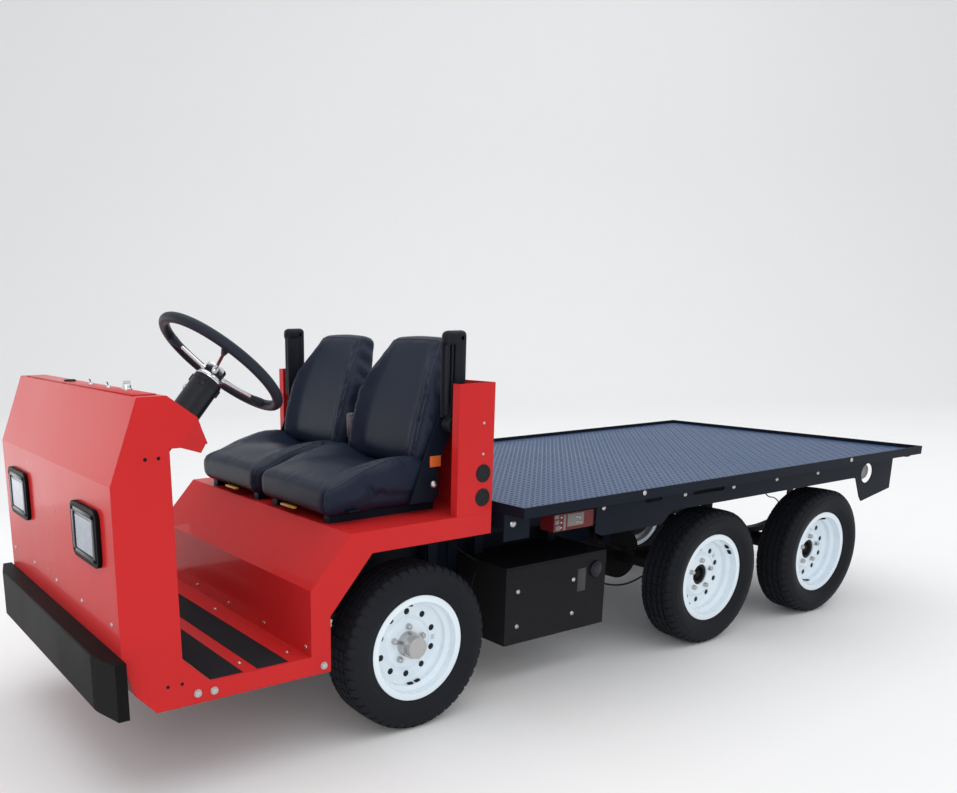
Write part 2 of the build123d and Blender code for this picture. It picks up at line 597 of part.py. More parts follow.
# Headlights: rubber-edged frames with a closed bucket behind, and flat lenses
with BuildPart() as headlight_frames:
    for side in (-1, 1):
        face = Plane(origin=(side * LAMP_X, FRONT_Y, LAMP_Z), x_dir=(1, 0, 0), z_dir=(0, -1, 0))
        with BuildSketch(face):
            RectangleRounded(LAMP_WIDTH, LAMP_HEIGHT, LAMP_CORNER)
        extrude(amount=LAMP_PROUD)
        with BuildSketch(face):
            RectangleRounded(LAMP_HOLE_WIDTH - 2 * LAMP_FIT, LAMP_HOLE_HEIGHT - 2 * LAMP_FIT,
                             LAMP_CORNER - LAMP_FRAME / 2 - LAMP_FIT)
        extrude(amount=-LAMP_BUCKET_DEPTH)
        with BuildSketch(face.offset(LAMP_PROUD)):
            RectangleRounded(LAMP_WIDTH - 2 * LAMP_FRAME, LAMP_HEIGHT - 2 * LAMP_FRAME, LAMP_CORNER / 2)
        extrude(amount=-LAMP_BUCKET_DEPTH, mode=Mode.SUBTRACT)
finish(headlight_frames, "headlight_frames")

with BuildPart() as headlight_lenses:
    for side in (-1, 1):
        face = Plane(origin=(side * LAMP_X, FRONT_Y - LAMP_PROUD / 2, LAMP_Z), x_dir=(1, 0, 0),
                     z_dir=(0, -1, 0))
        with BuildSketch(face):
            RectangleRounded(LAMP_WIDTH - 2 * LAMP_FRAME - 2 * LAMP_FIT,
                             LAMP_HEIGHT - 2 * LAMP_FRAME - 2 * LAMP_FIT, LAMP_CORNER / 2)
        extrude(amount=LENS_WALL)
finish(headlight_lenses, "headlight_lenses")

# Seats: fixed tracks, and on each side a sliding frame, its pads and a folding armrest
with BuildPart() as seat_tracks:
    for side in (-1, 1):
        for track in (-TRACK_HALF, TRACK_HALF):
            track_x = side * SEAT_X + track
            block((track_x - TRACK_WIDTH / 2, track_x + TRACK_WIDTH / 2), (TRACK_FRONT_Y, TRACK_REAR_Y),
                  (SEAT_Z, SEAT_Z + TRACK_HEIGHT))
finish(seat_tracks, "seat_tracks")

SLIDER_Z = SEAT_Z + TRACK_HEIGHT + SLIDE_GAP
SLIDER_TOP_Z = SLIDER_Z + SLIDER_HEIGHT
SEAT_CROSS_Z = SLIDER_TOP_Z - SEAT_CROSS_WALL
BRACKET_OUTLINE = [
    (ARMREST_PIVOT_Y - BRACKET_FOOT_FRONT, SEAT_CROSS_Z), (ARMREST_PIVOT_Y - BRACKET_FOOT_REAR, SEAT_CROSS_Z),
    (ARMREST_PIVOT_Y - BRACKET_HEEL, BRACKET_KNEE_Z),
    (ARMREST_PIVOT_Y + BRACKET_HEAD, ARMREST_PIVOT_Z - BRACKET_HEAD),
    (ARMREST_PIVOT_Y + BRACKET_HEAD, ARMREST_PIVOT_Z + BRACKET_HEAD),
    (ARMREST_PIVOT_Y - BRACKET_HEAD, ARMREST_PIVOT_Z + BRACKET_HEAD),
    (ARMREST_PIVOT_Y - BRACKET_FRONT, BRACKET_KNEE_Z)]
ARMREST_OUTLINE = [(ARMREST_PIVOT_Y + y, ARMREST_PIVOT_Z + z) for y, z in ARMREST_EYE]
ARMREST_OUTLINE += [(ARMREST_PIVOT_Y + ARMREST_REAR, ARMREST_TOP_Z),
                    (ARMREST_PIVOT_Y + ARMREST_REAR - ARMREST_DEPTH, ARMREST_TOP_Z)]

for side_name, side in (("left", 1), ("right", -1)):
    with BuildPart() as seat_frame:
        for track in (-TRACK_HALF, TRACK_HALF):
            track_x = side * SEAT_X + track
            block((track_x - TRACK_WIDTH / 2, track_x + TRACK_WIDTH / 2), (TRACK_FRONT_Y, TRACK_REAR_Y),
                  (SLIDER_Z, SLIDER_TOP_Z))
        for cross_y in (TRACK_FRONT_Y + SEAT_CROSS_FRONT, TRACK_REAR_Y - SEAT_CROSS_REAR):
            cross_x = sorted((side * (SEAT_X - TRACK_HALF), side * (BRACKET_X + WELD_LAP)))
            block(cross_x, (cross_y - SEAT_CROSS_HALF, cross_y + SEAT_CROSS_HALF),
                  (SEAT_CROSS_Z, SLIDER_TOP_Z))
        side_plate(BRACKET_OUTLINE, side * BRACKET_X, side * (BRACKET_X + BRACKET_WALL))
        crosswise(side * BRACKET_X, side * (ARM_OUTER_X + PIN_HEAD), ARMREST_PIVOT_Y, ARMREST_PIVOT_Z,
                  ARMREST_PIN_R)
    finish(seat_frame, f"seat_frame_{side_name}")

    with BuildPart() as seat_back:
        lean = radians(BACK_LEAN)
        back_plane = Plane(origin=(side * SEAT_X, BACK_FOOT_Y, BACK_FOOT_Z), x_dir=(1, 0, 0),
                           z_dir=(0, -cos(lean), sin(lean)))
        with BuildSketch(back_plane) as back_outline:
            Polygon((-BACK_WIDTH / 2, 0), (BACK_WIDTH / 2, 0), (BACK_WIDTH / 2, BACK_HEIGHT * BACK_SHOULDER),
                    (BACK_TOP_WIDTH / 2, BACK_HEIGHT), (-BACK_TOP_WIDTH / 2, BACK_HEIGHT),
                    (-BACK_WIDTH / 2, BACK_HEIGHT * BACK_SHOULDER), align=None)
            fillet(back_outline.vertices().group_by(Axis.Y)[-1], BACK_SHOULDER_R)
        extrude(amount=-BACK_WALL)
        fillet(seat_back.faces().sort_by(Axis(back_plane.origin, back_plane.z_dir))[-1].edges(), BACK_ROUND)

    with BuildPart() as seat_pads:
        with BuildSketch(Plane.XY.offset(CUSHION_Z)) as cushion_plan:
            with Locations((side * SEAT_X, (CUSHION_FRONT_Y + CUSHION_REAR_Y) / 2)):
                RectangleRounded(CUSHION_WIDTH, CUSHION_REAR_Y - CUSHION_FRONT_Y, CUSHION_CORNER)
        extrude(cushion_plan.sketch, amount=CUSHION_HEIGHT)
        fillet(seat_pads.faces().sort_by(Axis.Z)[-1].edges(), CUSHION_ROUND)
        add(seat_back.part)
    finish(seat_pads, f"seat_pads_{side_name}")

    with BuildPart() as armrest:
        side_plate(ARMREST_OUTLINE, side * ARM_INNER_X, side * ARM_OUTER_X)
        fillet(armrest.edges().filter_by(Axis.X).group_by(Axis.Z)[-1], ARMREST_ROUND)
        crosswise(side * ARM_INNER_X, side * ARM_OUTER_X, ARMREST_PIVOT_Y, ARMREST_PIVOT_Z,
                  ARMREST_PIN_R + SHAFT_CLEARANCE, mode=Mode.SUBTRACT)
    finish(armrest, f"armrest_{side_name}")

# Steering column, wheel and the upright shaft down to the steering gear
with BuildPart() as steering_column:
    with BuildSketch(steer_plane.offset(-STEER_HUB_DROP - LUG_GAP)):
        Circle(HOUSING_R)
    extrude(amount=-HOUSING_LENGTH)
    with BuildSketch(steer_plane.offset(-STEER_HUB_DROP - HOUSING_LENGTH)):
        Circle(COLUMN_R)
    extrude(amount=-COLUMN_LENGTH + HOUSING_LENGTH)
finish(steering_column, "steering_column")

with BuildPart() as steering_wheel:
    with BuildSketch(Plane(origin=steer_plane.origin, x_dir=steer_plane.x_dir, z_dir=steer_plane.y_dir)):
        with Locations((STEER_RIM_R, 0)):
            Circle(STEER_GRIP_R)
    revolve(axis=Axis(steer_plane.origin, steer_plane.z_dir))
    with BuildSketch(steer_plane.offset(-STEER_HUB_DROP)):
        Circle(STEER_HUB_R)
    extrude(amount=STEER_HUB_HEIGHT)
    for angle in SPOKE_ANGLES:
        turn = radians(angle)
        rim_end = steer_plane.from_local_coords(Vector(STEER_RIM_R * cos(turn), STEER_RIM_R * sin(turn), 0))
        hub_end = steer_plane.from_local_coords(Vector(0, 0, -STEER_HUB_DROP + STEER_HUB_HEIGHT / 2))
        with BuildSketch(Plane(origin=hub_end, z_dir=rim_end - hub_end)):
            Circle(STEER_SPOKE_R)
        extrude(amount=(rim_end - hub_end).length)
finish(steering_wheel, "steering_wheel")

COLUMN_END = steer_plane.from_local_coords(Vector(0, 0, -STEER_HUB_DROP - COLUMN_LENGTH))
GEAR_TOP_Z = FLOOR_Z + GEAR_HEIGHT
SHAFT_Y = COLUMN_END.Y - SHAFT_OFFSET
JOINT_TOP_Z = COLUMN_END.Z - JOINT_DROP
with BuildPart() as steering_shaft:
    upright(STEER_X, SHAFT_Y, GEAR_TOP_Z + LINK_GAP, JOINT_TOP_Z, SHAFT_R)
    upright(STEER_X, SHAFT_Y, JOINT_TOP_Z - JOINT_HEIGHT, JOINT_TOP_Z, JOINT_R)
finish(steering_shaft, "steering_shaft")

ARM_TOP_Z = ARM_LOW_Z + ARM_WALL
with BuildPart() as steering_gear:
    block((STEER_X - GEAR_MARGIN, KINGPIN_X + GEAR_MARGIN), (PITMAN_Y - GEAR_HALF, PITMAN_Y + GEAR_HALF),
          (FLOOR_Z, GEAR_TOP_Z))
    upright(KINGPIN_X, PITMAN_Y, ARM_TOP_Z + GEAR_NECK_GAP, GEAR_TOP_Z, GEAR_NECK_R)
    upright(KINGPIN_X, PITMAN_Y, ARM_TOP_Z, GEAR_TOP_Z - GEAR_LID, PITMAN_SHAFT_R + SHAFT_CLEARANCE,
            mode=Mode.SUBTRACT)
finish(steering_gear, "steering_gear")


def steer_arm(x, y, end_x, end_y, pin_r):
    """A flat steering arm with a round end at each pivot and a ball pin below its far end."""
    with BuildSketch(Plane.XY.offset(ARM_LOW_Z)) as plan:
        with Locations((x, y), (end_x, end_y)):
            Circle(ARM_WIDTH / 2)
        length = ((end_x - x) ** 2 + (end_y - y) ** 2) ** 0.5
        with Locations(((x + end_x) / 2, (y + end_y) / 2)):
            if abs(end_x - x) > abs(end_y - y):
                Rectangle(length, ARM_WIDTH)
            else:
                Rectangle(ARM_WIDTH, length)
    extrude(plan.sketch, amount=ARM_WALL)
    upright(end_x, end_y, LINK_TOP_Z - 2 * LINK_EYE_HALF, ARM_LOW_Z + WELD_LAP, pin_r)


with BuildPart() as pitman_arm:
    steer_arm(KINGPIN_X, PITMAN_Y, KINGPIN_X - STEER_ARM, PITMAN_Y, BALL_PIN_R)
    upright(KINGPIN_X, PITMAN_Y, ARM_LOW_Z, GEAR_TOP_Z - GEAR_LID - SHAFT_END_GAP, PITMAN_SHAFT_R)
finish(pitman_arm, "pitman_arm")


def steering_link(start, end):
    """A round link with a bored eye at each end."""
    for x, y in (start, end):
        upright(x, y, LINK_TOP_Z - 2 * LINK_EYE_HALF, LINK_TOP_Z, LINK_EYE_R)
    middle = Vector(start[0], start[1], LINK_TOP_Z - LINK_EYE_HALF)
    run = Vector(end[0], end[1], LINK_TOP_Z - LINK_EYE_HALF) - middle
    with BuildSketch(Plane(origin=middle, z_dir=run)) as section:
        Circle(LINK_R)
    extrude(section.sketch, amount=run.length)
    for x, y in (start, end):
        upright(x, y, LINK_TOP_Z - 2 * LINK_EYE_HALF, LINK_TOP_Z, BALL_PIN_R + SHAFT_CLEARANCE,
                mode=Mode.SUBTRACT)


with BuildPart() as drag_link:
    steering_link((KINGPIN_X - STEER_ARM, PITMAN_Y), (KINGPIN_X - STEER_ARM, FRONT_AXLE_Y))
finish(drag_link, "drag_link")

TRACK_ROD_Y = FRONT_AXLE_Y + TRACK_ARM
with BuildPart() as track_rod:
    steering_link((KINGPIN_X, TRACK_ROD_Y), (-KINGPIN_X, TRACK_ROD_Y))
finish(track_rod, "track_rod")

# Steering knuckles: a forked stub axle on each kingpin, with its steering arms
WEB_X = KINGPIN_X + KINGPIN_BOSS_R + WEB_GAP
UPPER_LUG_Z = TYRE_R + KINGPIN_BOSS_HALF + LUG_GAP
for side_name, side in (("left", 1), ("right", -1)):
    with BuildPart() as knuckle:
        for lug_z in (ARM_LOW_Z, UPPER_LUG_Z):
            upright(side * KINGPIN_X, FRONT_AXLE_Y, lug_z, lug_z + LUG_WALL, KINGPIN_BOSS_R)
            lug_x = sorted((side * KINGPIN_X, side * (WEB_X + WELD_LAP)))
            block(lug_x, (FRONT_AXLE_Y - KINGPIN_BOSS_R, FRONT_AXLE_Y + KINGPIN_BOSS_R),
                  (lug_z, lug_z + LUG_WALL))
        web_x = sorted((side * WEB_X, side * (WEB_X + WEB_WALL)))
        block(web_x, (FRONT_AXLE_Y - WEB_HALF, FRONT_AXLE_Y + WEB_HALF), (ARM_LOW_Z, UPPER_LUG_Z + LUG_WALL))
        upright(side * KINGPIN_X, FRONT_AXLE_Y, ARM_LOW_Z, UPPER_LUG_Z + LUG_WALL, KINGPIN_R)
        crosswise(side * (WEB_X + WELD_LAP), side * SPINDLE_END_X, FRONT_AXLE_Y, TYRE_R, SPINDLE_R)
        steer_arm(side * KINGPIN_X, FRONT_AXLE_Y, side * KINGPIN_X, TRACK_ROD_Y, BALL_PIN_R)
        if side > 0:
            steer_arm(KINGPIN_X, FRONT_AXLE_Y, KINGPIN_X - STEER_ARM, FRONT_AXLE_Y, BALL_PIN_R)
    finish(knuckle, f"knuckle_{side_name}")

# Axles: the front beam with its kingpin bosses, and two tubular rear axles, the middle one driven
with BuildPart() as axles:
    block((-KINGPIN_X, KINGPIN_X), (FRONT_AXLE_Y - BEAM_DEPTH / 2, FRONT_AXLE_Y + BEAM_DEPTH / 2),
          (TYRE_R - BEAM_HALF_HEIGHT, TYRE_R + BEAM_HALF_HEIGHT))
    for side in (-1, 1):
        block(sorted((side * (KINGPIN_X - KINGPIN_BOSS_R), side * (KINGPIN_X + BEAM_DEPTH))),
              (FRONT_AXLE_Y - BEAM_DEPTH, FRONT_AXLE_Y + BEAM_DEPTH),
              (TYRE_R - KINGPIN_BOSS_HALF, TYRE_R + KINGPIN_BOSS_HALF), mode=Mode.SUBTRACT)
        upright(side * KINGPIN_X, FRONT_AXLE_Y, TYRE_R - KINGPIN_BOSS_HALF, TYRE_R + KINGPIN_BOSS_HALF,
                KINGPIN_BOSS_R)
        upright(side * KINGPIN_X, FRONT_AXLE_Y, TYRE_R - KINGPIN_BOSS_HALF, TYRE_R + KINGPIN_BOSS_HALF,
                KINGPIN_R + SHAFT_CLEARANCE, mode=Mode.SUBTRACT)
    for axle_y in (MIDDLE_AXLE_Y, REAR_AXLE_Y):
        crosswise(-DRUM_X + 2 * BACKPLATE_WALL, DRUM_X - 2 * BACKPLATE_WALL, axle_y, TYRE_R, AXLE_TUBE_R)
        for side in (-1, 1):
            crosswise(side * (DRUM_X - 2 * BACKPLATE_WALL), side * (DRUM_X - BACKPLATE_WALL), axle_y, TYRE_R,
                      BACKPLATE_R)
            crosswise(side * (DRUM_X - 2 * BACKPLATE_WALL), side * (HUB_FACE_X - SPINDLE_SETBACK), axle_y,
                      TYRE_R, SPINDLE_R)
    crosswise(-DIFF_HALF, DIFF_HALF, MIDDLE_AXLE_Y, TYRE_R, DIFF_R)
finish(axles, "axles")

# Leaf springs: one pack over each axle end, the rear pairs joined by rocking equalisers
def leaf(x, axle_y, seat_z, half_span, rise):
    """One leaf, bowed down to its seat on the axle."""
    with BuildSketch(Plane.YZ.offset(x - SPRING_WIDTH / 2)) as section:
        with BuildLine():
            low = ThreePointArc((axle_y - half_span, seat_z + rise), (axle_y, seat_z),
                                (axle_y + half_span, seat_z + rise))
            high = ThreePointArc((axle_y - half_span, seat_z + rise + LEAF_WALL),
                                 (axle_y, seat_z + LEAF_WALL),
                                 (axle_y + half_span, seat_z + rise + LEAF_WALL))
            Line(low @ 0, high @ 0)
            Line(low @ 1, high @ 1)
        make_face()
    extrude(section.sketch, amount=SPRING_WIDTH)


with BuildPart() as springs:
    for side in (-1, 1):
        x = side * SPRING_X
        for axle_y in (FRONT_AXLE_Y, MIDDLE_AXLE_Y, REAR_AXLE_Y):
            for index in range(LEAF_COUNT):
                half_span = SPRING_HALF_SPAN - SPRING_EYE_R / 2 - LEAF_STEP * (LEAF_COUNT - 1 - index)
                rise = SPRING_RISE * (half_span / SPRING_HALF_SPAN) ** 2
                seat_z = TYRE_R + BEAM_HALF_HEIGHT + LEAF_WALL * index
                leaf(x, axle_y, seat_z, half_span, rise)
            for end in (-1, 1):
                eye_y = axle_y + end * SPRING_HALF_SPAN
                crosswise(x - SPRING_WIDTH / 2, x + SPRING_WIDTH / 2, eye_y, EYE_Z, SPRING_EYE_R)
                crosswise(x - SPRING_WIDTH / 2, x + SPRING_WIDTH / 2, eye_y, EYE_Z,
                          SPRING_PIN_R + EYE_CLEARANCE, mode=Mode.SUBTRACT)
        inner_eye_ys = (MIDDLE_AXLE_Y + SPRING_HALF_SPAN, REAR_AXLE_Y - SPRING_HALF_SPAN)
        rocker = [(inner_eye_ys[0] - ROCKER_END, EYE_Z - ROCKER_HALF),
                  (inner_eye_ys[0] - ROCKER_HALF, EYE_Z + ROCKER_HALF),
                  (EQUALISER_Y - ROCKER_HALF, EQUALISER_Z + ROCKER_TOP),
                  (EQUALISER_Y + ROCKER_HALF, EQUALISER_Z + ROCKER_TOP),
                  (inner_eye_ys[1] + ROCKER_HALF, EYE_Z + ROCKER_HALF),
                  (inner_eye_ys[1] + ROCKER_END, EYE_Z - ROCKER_HALF)]
        for cheek_x in (x - SPRING_WIDTH / 2 - HANGER_WALL - SLIDE_GAP, x + SPRING_WIDTH / 2 + SLIDE_GAP):
            side_plate(rocker, cheek_x, cheek_x + HANGER_WALL)
        for pin_y in inner_eye_ys:
            crosswise(x - RAIL_WIDTH / 2, x + RAIL_WIDTH / 2, pin_y, EYE_Z, SPRING_PIN_R)
        crosswise(x - RAIL_WIDTH / 2, x + RAIL_WIDTH / 2, EQUALISER_Y, EQUALISER_Z, EQUALISER_PIN_R)
finish(springs, "springs")


# Wheels: a tyre on a pressed rim and disc, welded to its hub and brake drum
WHEEL_PLACES = (("front", FRONT_AXLE_Y), ("middle", MIDDLE_AXLE_Y), ("rear", REAR_AXLE_Y))
TYRE_BEAD_HALF = RIM_HALF - BEAD_FIT
TYRE_HALF_OUTLINE = [
    (TYRE_BEAD_HALF, RIM_SEAT_R + BEAD_SEAT_FIT), (TYRE_BEAD_HALF, RIM_FLANGE_R + FLANGE_GAP),
    (TYRE_BEAD_HALF + BEAD_BULGE, RIM_FLANGE_R + FLANGE_COVER),
    *[(TYRE_WIDTH / 2 - inset, r) for inset, r in SIDEWALL],
    (TREAD_HALF, TYRE_R - TREAD_CROWN), (TREAD_FLAT_HALF, TYRE_R)]
TYRE_OUTLINE = TYRE_HALF_OUTLINE + [(-x, r) for x, r in reversed(TYRE_HALF_OUTLINE)]
RIM_PATH = [
    (-RIM_HALF, RIM_FLANGE_R), (-RIM_HALF, RIM_SEAT_R), (-RIM_LEDGE_HALF, RIM_SEAT_R),
    (-RIM_WELL_HALF, RIM_WELL_R), (RIM_WELL_HALF, RIM_WELL_R), (RIM_LEDGE_HALF, RIM_SEAT_R),
    (RIM_HALF, RIM_SEAT_R), (RIM_HALF, RIM_FLANGE_R)]
DISC_PATH = [
    (DISC_OFFSET + DISC_EDGE_RISE, RIM_WELL_R - RIM_WALL / 2), (DISC_OFFSET - DISC_EDGE_RISE, DISC_EDGE_R),
    (DISC_OFFSET - DISC_DISH, DISH_OUTER_R), (DISC_OFFSET - DISC_DISH, DISH_INNER_R),
    (DISC_OFFSET, DISC_PAD_R), (DISC_OFFSET, CENTRE_BORE_R)]

for side_name, side in (("left", 1), ("right", -1)):
    for place, axle_y in WHEEL_PLACES:
        with BuildPart() as tyre:
            turned([(WHEEL_X + x, r) for x, r in TYRE_OUTLINE], side, axle_y)
        finish(tyre, f"tyre_{place}_{side_name}")

        with BuildPart() as wheel:
            turned([(WHEEL_X + x, r) for x, r in folded_strip(RIM_PATH, RIM_WALL)], side, axle_y)
            turned([(WHEEL_X + x, r) for x, r in folded_strip(DISC_PATH, DISC_WALL)], side, axle_y)
            disc_face = Plane(origin=(side * (DISC_X + WELD_LAP), axle_y, TYRE_R), x_dir=(0, 1, 0),
                              z_dir=(side, 0, 0))
            with BuildSketch(disc_face):
                with PolarLocations(VENT_CIRCLE_R, VENT_COUNT, start_angle=90.0):
                    Circle(VENT_R)
            extrude(amount=-DISC_CUT, mode=Mode.SUBTRACT)
            crosswise(side * HUB_FACE_X, side * (HUB_FACE_X - HUB_FLANGE_WALL), axle_y, TYRE_R, HUB_FLANGE_R)
            crosswise(side * (HUB_FACE_X - HUB_FLANGE_WALL + WELD_LAP), side * DRUM_X, axle_y, TYRE_R, HUB_R)
            drum_floor_x = DRUM_X + DRUM_DEPTH
            turned([(DRUM_X, DRUM_R - DRUM_WALL), (DRUM_X, DRUM_R), (drum_floor_x + WELD_LAP, DRUM_R),
                    (drum_floor_x + WELD_LAP, HUB_R - WELD_LAP), (drum_floor_x - DRUM_WALL, HUB_R - WELD_LAP),
                    (drum_floor_x - DRUM_WALL, DRUM_R - DRUM_WALL)], side, axle_y)
            if place == "front":
                crosswise(side * HUB_FACE_X, side * (DISC_X + HUB_REACH), axle_y, TYRE_R, CENTRE_BORE_R)
                crosswise(side * (DISC_X + HUB_REACH), side * (DISC_X + CAP_REACH), axle_y, TYRE_R, CAP_R)
                bore_end = SPINDLE_END_X + SPINDLE_GAP
            else:
                crosswise(side * (HUB_FACE_X - HUB_BORE_DEPTH), side * HUB_FACE_X, axle_y, TYRE_R,
                          HUB_R - HUB_BORE_WALL, mode=Mode.SUBTRACT)
                bore_end = HUB_FACE_X
            crosswise(side * DRUM_X, side * bore_end, axle_y, TYRE_R, SPINDLE_R + SHAFT_CLEARANCE,
                      mode=Mode.SUBTRACT)
            with BuildSketch(disc_face):
                with PolarLocations(LUG_CIRCLE_R, LUG_COUNT, start_angle=90.0):
                    Circle(LUG_HOLE_R)
            extrude(amount=-DISC_WALL - HUB_FLANGE_WALL - 2 * WELD_LAP, mode=Mode.SUBTRACT)
        finish(wheel, f"wheel_{place}_{side_name}")

# Closed boxes: the side box, the power block between the rails and the breaker module
with BuildPart() as side_box:
    block(BOX_X, BOX_Y, BOX_Z)
finish(side_box, "side_box")

with BuildPart() as power_block:
    block((-POWER_HALF, POWER_HALF), POWER_Y, POWER_Z)
finish(power_block, "power_block")

with BuildPart() as breaker_module:
    block(MODULE_X, MODULE_Y, MODULE_Z)
finish(breaker_module, "breaker_module")
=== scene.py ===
# Looks of a six-wheeled burden carrier, in metres: +X is the vehicle's left, +Y its rear, +Z up.
import math

import bpy
import bmesh
from mathutils import Matrix, Vector


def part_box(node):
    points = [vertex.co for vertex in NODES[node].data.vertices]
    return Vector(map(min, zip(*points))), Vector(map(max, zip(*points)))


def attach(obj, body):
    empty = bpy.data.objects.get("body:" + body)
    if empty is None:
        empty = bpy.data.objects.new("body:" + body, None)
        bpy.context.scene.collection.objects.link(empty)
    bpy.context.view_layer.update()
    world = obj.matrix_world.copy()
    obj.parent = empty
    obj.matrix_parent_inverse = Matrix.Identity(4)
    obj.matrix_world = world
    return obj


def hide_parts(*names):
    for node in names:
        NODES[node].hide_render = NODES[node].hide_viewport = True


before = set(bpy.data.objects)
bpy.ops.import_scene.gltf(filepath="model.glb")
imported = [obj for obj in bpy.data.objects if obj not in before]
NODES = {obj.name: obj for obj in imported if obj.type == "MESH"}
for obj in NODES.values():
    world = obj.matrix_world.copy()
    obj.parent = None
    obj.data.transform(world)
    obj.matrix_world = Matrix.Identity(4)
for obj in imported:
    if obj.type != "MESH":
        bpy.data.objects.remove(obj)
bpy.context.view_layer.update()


# Chassis: two black channel rails with a stepped front, deck bearers and folded side plates, of welded
# steel under satin black enamel. Dust settles low on them, and their edges are rounded in the shading.
def shader_group(name, output, kind="NodeSocketFloat", **inputs):
    """A node group with named numbers in and one value out; with it come its two ends and the object's own space."""
    group = bpy.data.node_groups.new(name, "ShaderNodeTree")
    for socket, value in inputs.items():
        group.interface.new_socket(socket, in_out="INPUT", socket_type="NodeSocketFloat").default_value = value
    group.interface.new_socket(output, in_out="OUTPUT", socket_type=kind)
    given, result = group.nodes.new("NodeGroupInput"), group.nodes.new("NodeGroupOutput")
    return group, given.outputs, result.inputs[0], add(group, "TexCoord", out="Object")


def add(tree, kind, links=(), out=0, **values):
    """A shader node with its links, numbers (in_0, in_1 and so on) and settings; gives one of its outputs."""
    node = tree.nodes.new("ShaderNode" + kind)
    for key, value in values.items():
        if key.startswith("in_"):
            node.inputs[int(key[3:])].default_value = value
        else:
            setattr(node, key, value)
    for index, source in links:
        tree.links.new(source, node.inputs[index])
    return node.outputs[out]


# Group "patches": large soft patches, 0 to 1, from two sizes of noise
PATCHES, given, result, spot = shader_group("patches", "Mask", Scale=4.0, Contrast=0.3)
noise = add(PATCHES, "TexNoise", [(0, spot), (2, given["Scale"])], in_3=6.0, in_4=0.62)
low_edge = add(PATCHES, "Math", [(1, given["Contrast"])], operation="SUBTRACT", in_0=0.5)
high_edge = add(PATCHES, "Math", [(1, given["Contrast"])], operation="ADD", in_0=0.5)
PATCHES.links.new(add(PATCHES, "MapRange", [(0, noise), (1, low_edge), (2, high_edge)]), result)

# Group "road_dust": dust that thins out with height above the ground
ROAD_DUST, given, result, spot = shader_group("road_dust", "Mask", Top=0.5, Amount=0.2)
height = add(ROAD_DUST, "SeparateXYZ", [(0, spot)], out=2)
fade = add(ROAD_DUST, "MapRange", [(0, height), (1, given["Top"])], in_2=0.05)
speck = add(ROAD_DUST, "TexNoise", [(0, spot)], in_2=38.0, in_3=8.0, in_4=0.7)
both = add(ROAD_DUST, "Math", [(0, fade), (1, speck)], operation="MULTIPLY")
ROAD_DUST.links.new(add(ROAD_DUST, "Math", [(0, both), (1, given["Amount"])], operation="MULTIPLY"), result)

# Group "skin": a bumped normal from one size of noise, for enamel's orange peel, castings and moulded faces
SKIN, given, result, spot = shader_group("skin", "Normal", "NodeSocketVector", Scale=120.0, Strength=0.1,
                                         Depth=0.001, Edge=0.0015)
noise = add(SKIN, "TexNoise", [(0, spot), (2, given["Scale"])], in_3=3.0)
edge = add(SKIN, "Bevel", [(0, given["Edge"])], samples=4)
SKIN.links.new(add(SKIN, "Bump", [(0, given["Strength"]), (1, given["Depth"]), (3, noise), (4, edge)]), result)

# Group "scratches": fine crossing hairlines, 0 to 1
SCRATCHES, given, result, spot = shader_group("scratches", "Mask", Scale=20.0, Amount=0.2)
stretch = add(SCRATCHES, "Mapping", [(0, spot)], in_2=(0.3, 0.5, 0.2), in_3=(1.0, 14.0, 9.0))
lines = add(SCRATCHES, "TexNoise", [(0, stretch), (2, given["Scale"])], in_3=9.0, in_4=0.85)
thin = add(SCRATCHES, "MapRange", [(0, lines)], in_1=0.62, in_2=0.7)
SCRATCHES.links.new(add(SCRATCHES, "Math", [(0, thin), (1, given["Amount"])], operation="MULTIPLY"), result)


def grouped(tree, group, **values):
    """A shared group set into a material; gives its output."""
    node = tree.nodes.new("ShaderNodeGroup")
    node.node_tree = group
    for key, value in values.items():
        node.inputs[key].default_value = value
    return node.outputs[0]


COAT_ROUGH = 0.025
DUST_COLOUR = (0.10, 0.09, 0.08, 1)


def finish_of(name, colour, worn_and_sheen, rough, metal=0.0, coat=0.0, dust=0.15, dust_top=0.6, scale=120.0, strength=0.1,
              edge=0.0015, patch_scale=3.0, scratch=0.2, gloss=0.5):
    """A material: colour broken up by patches towards a second colour (a worn tone, and on the buckle wrap a painted
    sheen), scratches, road dust, and a bumped skin.
    """
    made = bpy.data.materials.new(name)
    made.use_nodes = True
    tree = made.node_tree
    surface = tree.nodes["Principled BSDF"].inputs
    patch = grouped(tree, PATCHES, Scale=patch_scale, Contrast=0.28)
    scratched = grouped(tree, SCRATCHES, Scale=18.0, Amount=scratch)
    dusty = grouped(tree, ROAD_DUST, Top=dust_top, Amount=dust)
    skin = grouped(tree, SKIN, Scale=scale, Strength=strength, Edge=edge)
    pale = (*[min(1.0, v * 1.3 + 0.008) for v in colour], 1)
    # Patches mix the colour towards the second colour: a worn tone for most materials, a painted sheen on the buckle
    # wrap.
    base = add(tree, "Mix", [(0, patch)], 2, data_type="RGBA", in_6=(*colour, 1), in_7=(*worn_and_sheen, 1))
    lined = add(tree, "Mix", [(0, scratched), (6, base)], 2, data_type="RGBA", in_7=pale)
    dulled = add(tree, "Mix", [(0, dusty), (6, lined)], 2, data_type="RGBA", in_7=DUST_COLOUR)
    shine = add(tree, "MapRange", [(0, patch)], in_3=rough - 0.05, in_4=rough + 0.07)
    matt = add(tree, "Math", [(0, shine), (1, dusty)], operation="ADD")
    for socket, source in (("Base Color", dulled), ("Roughness", matt), ("Normal", skin)):
        tree.links.new(source, surface[socket])
    for socket, value in (("Metallic", metal), ("Coat Weight", coat), ("Coat Roughness", COAT_ROUGH),
                          ("Specular IOR Level", gloss)):
        surface[socket].default_value = value
    return made


def paint(material, *nodes):
    """Give CAD nodes a material."""
    for node in nodes:
        data = NODES[node].data
        data.materials.clear()
        data.materials.append(material)


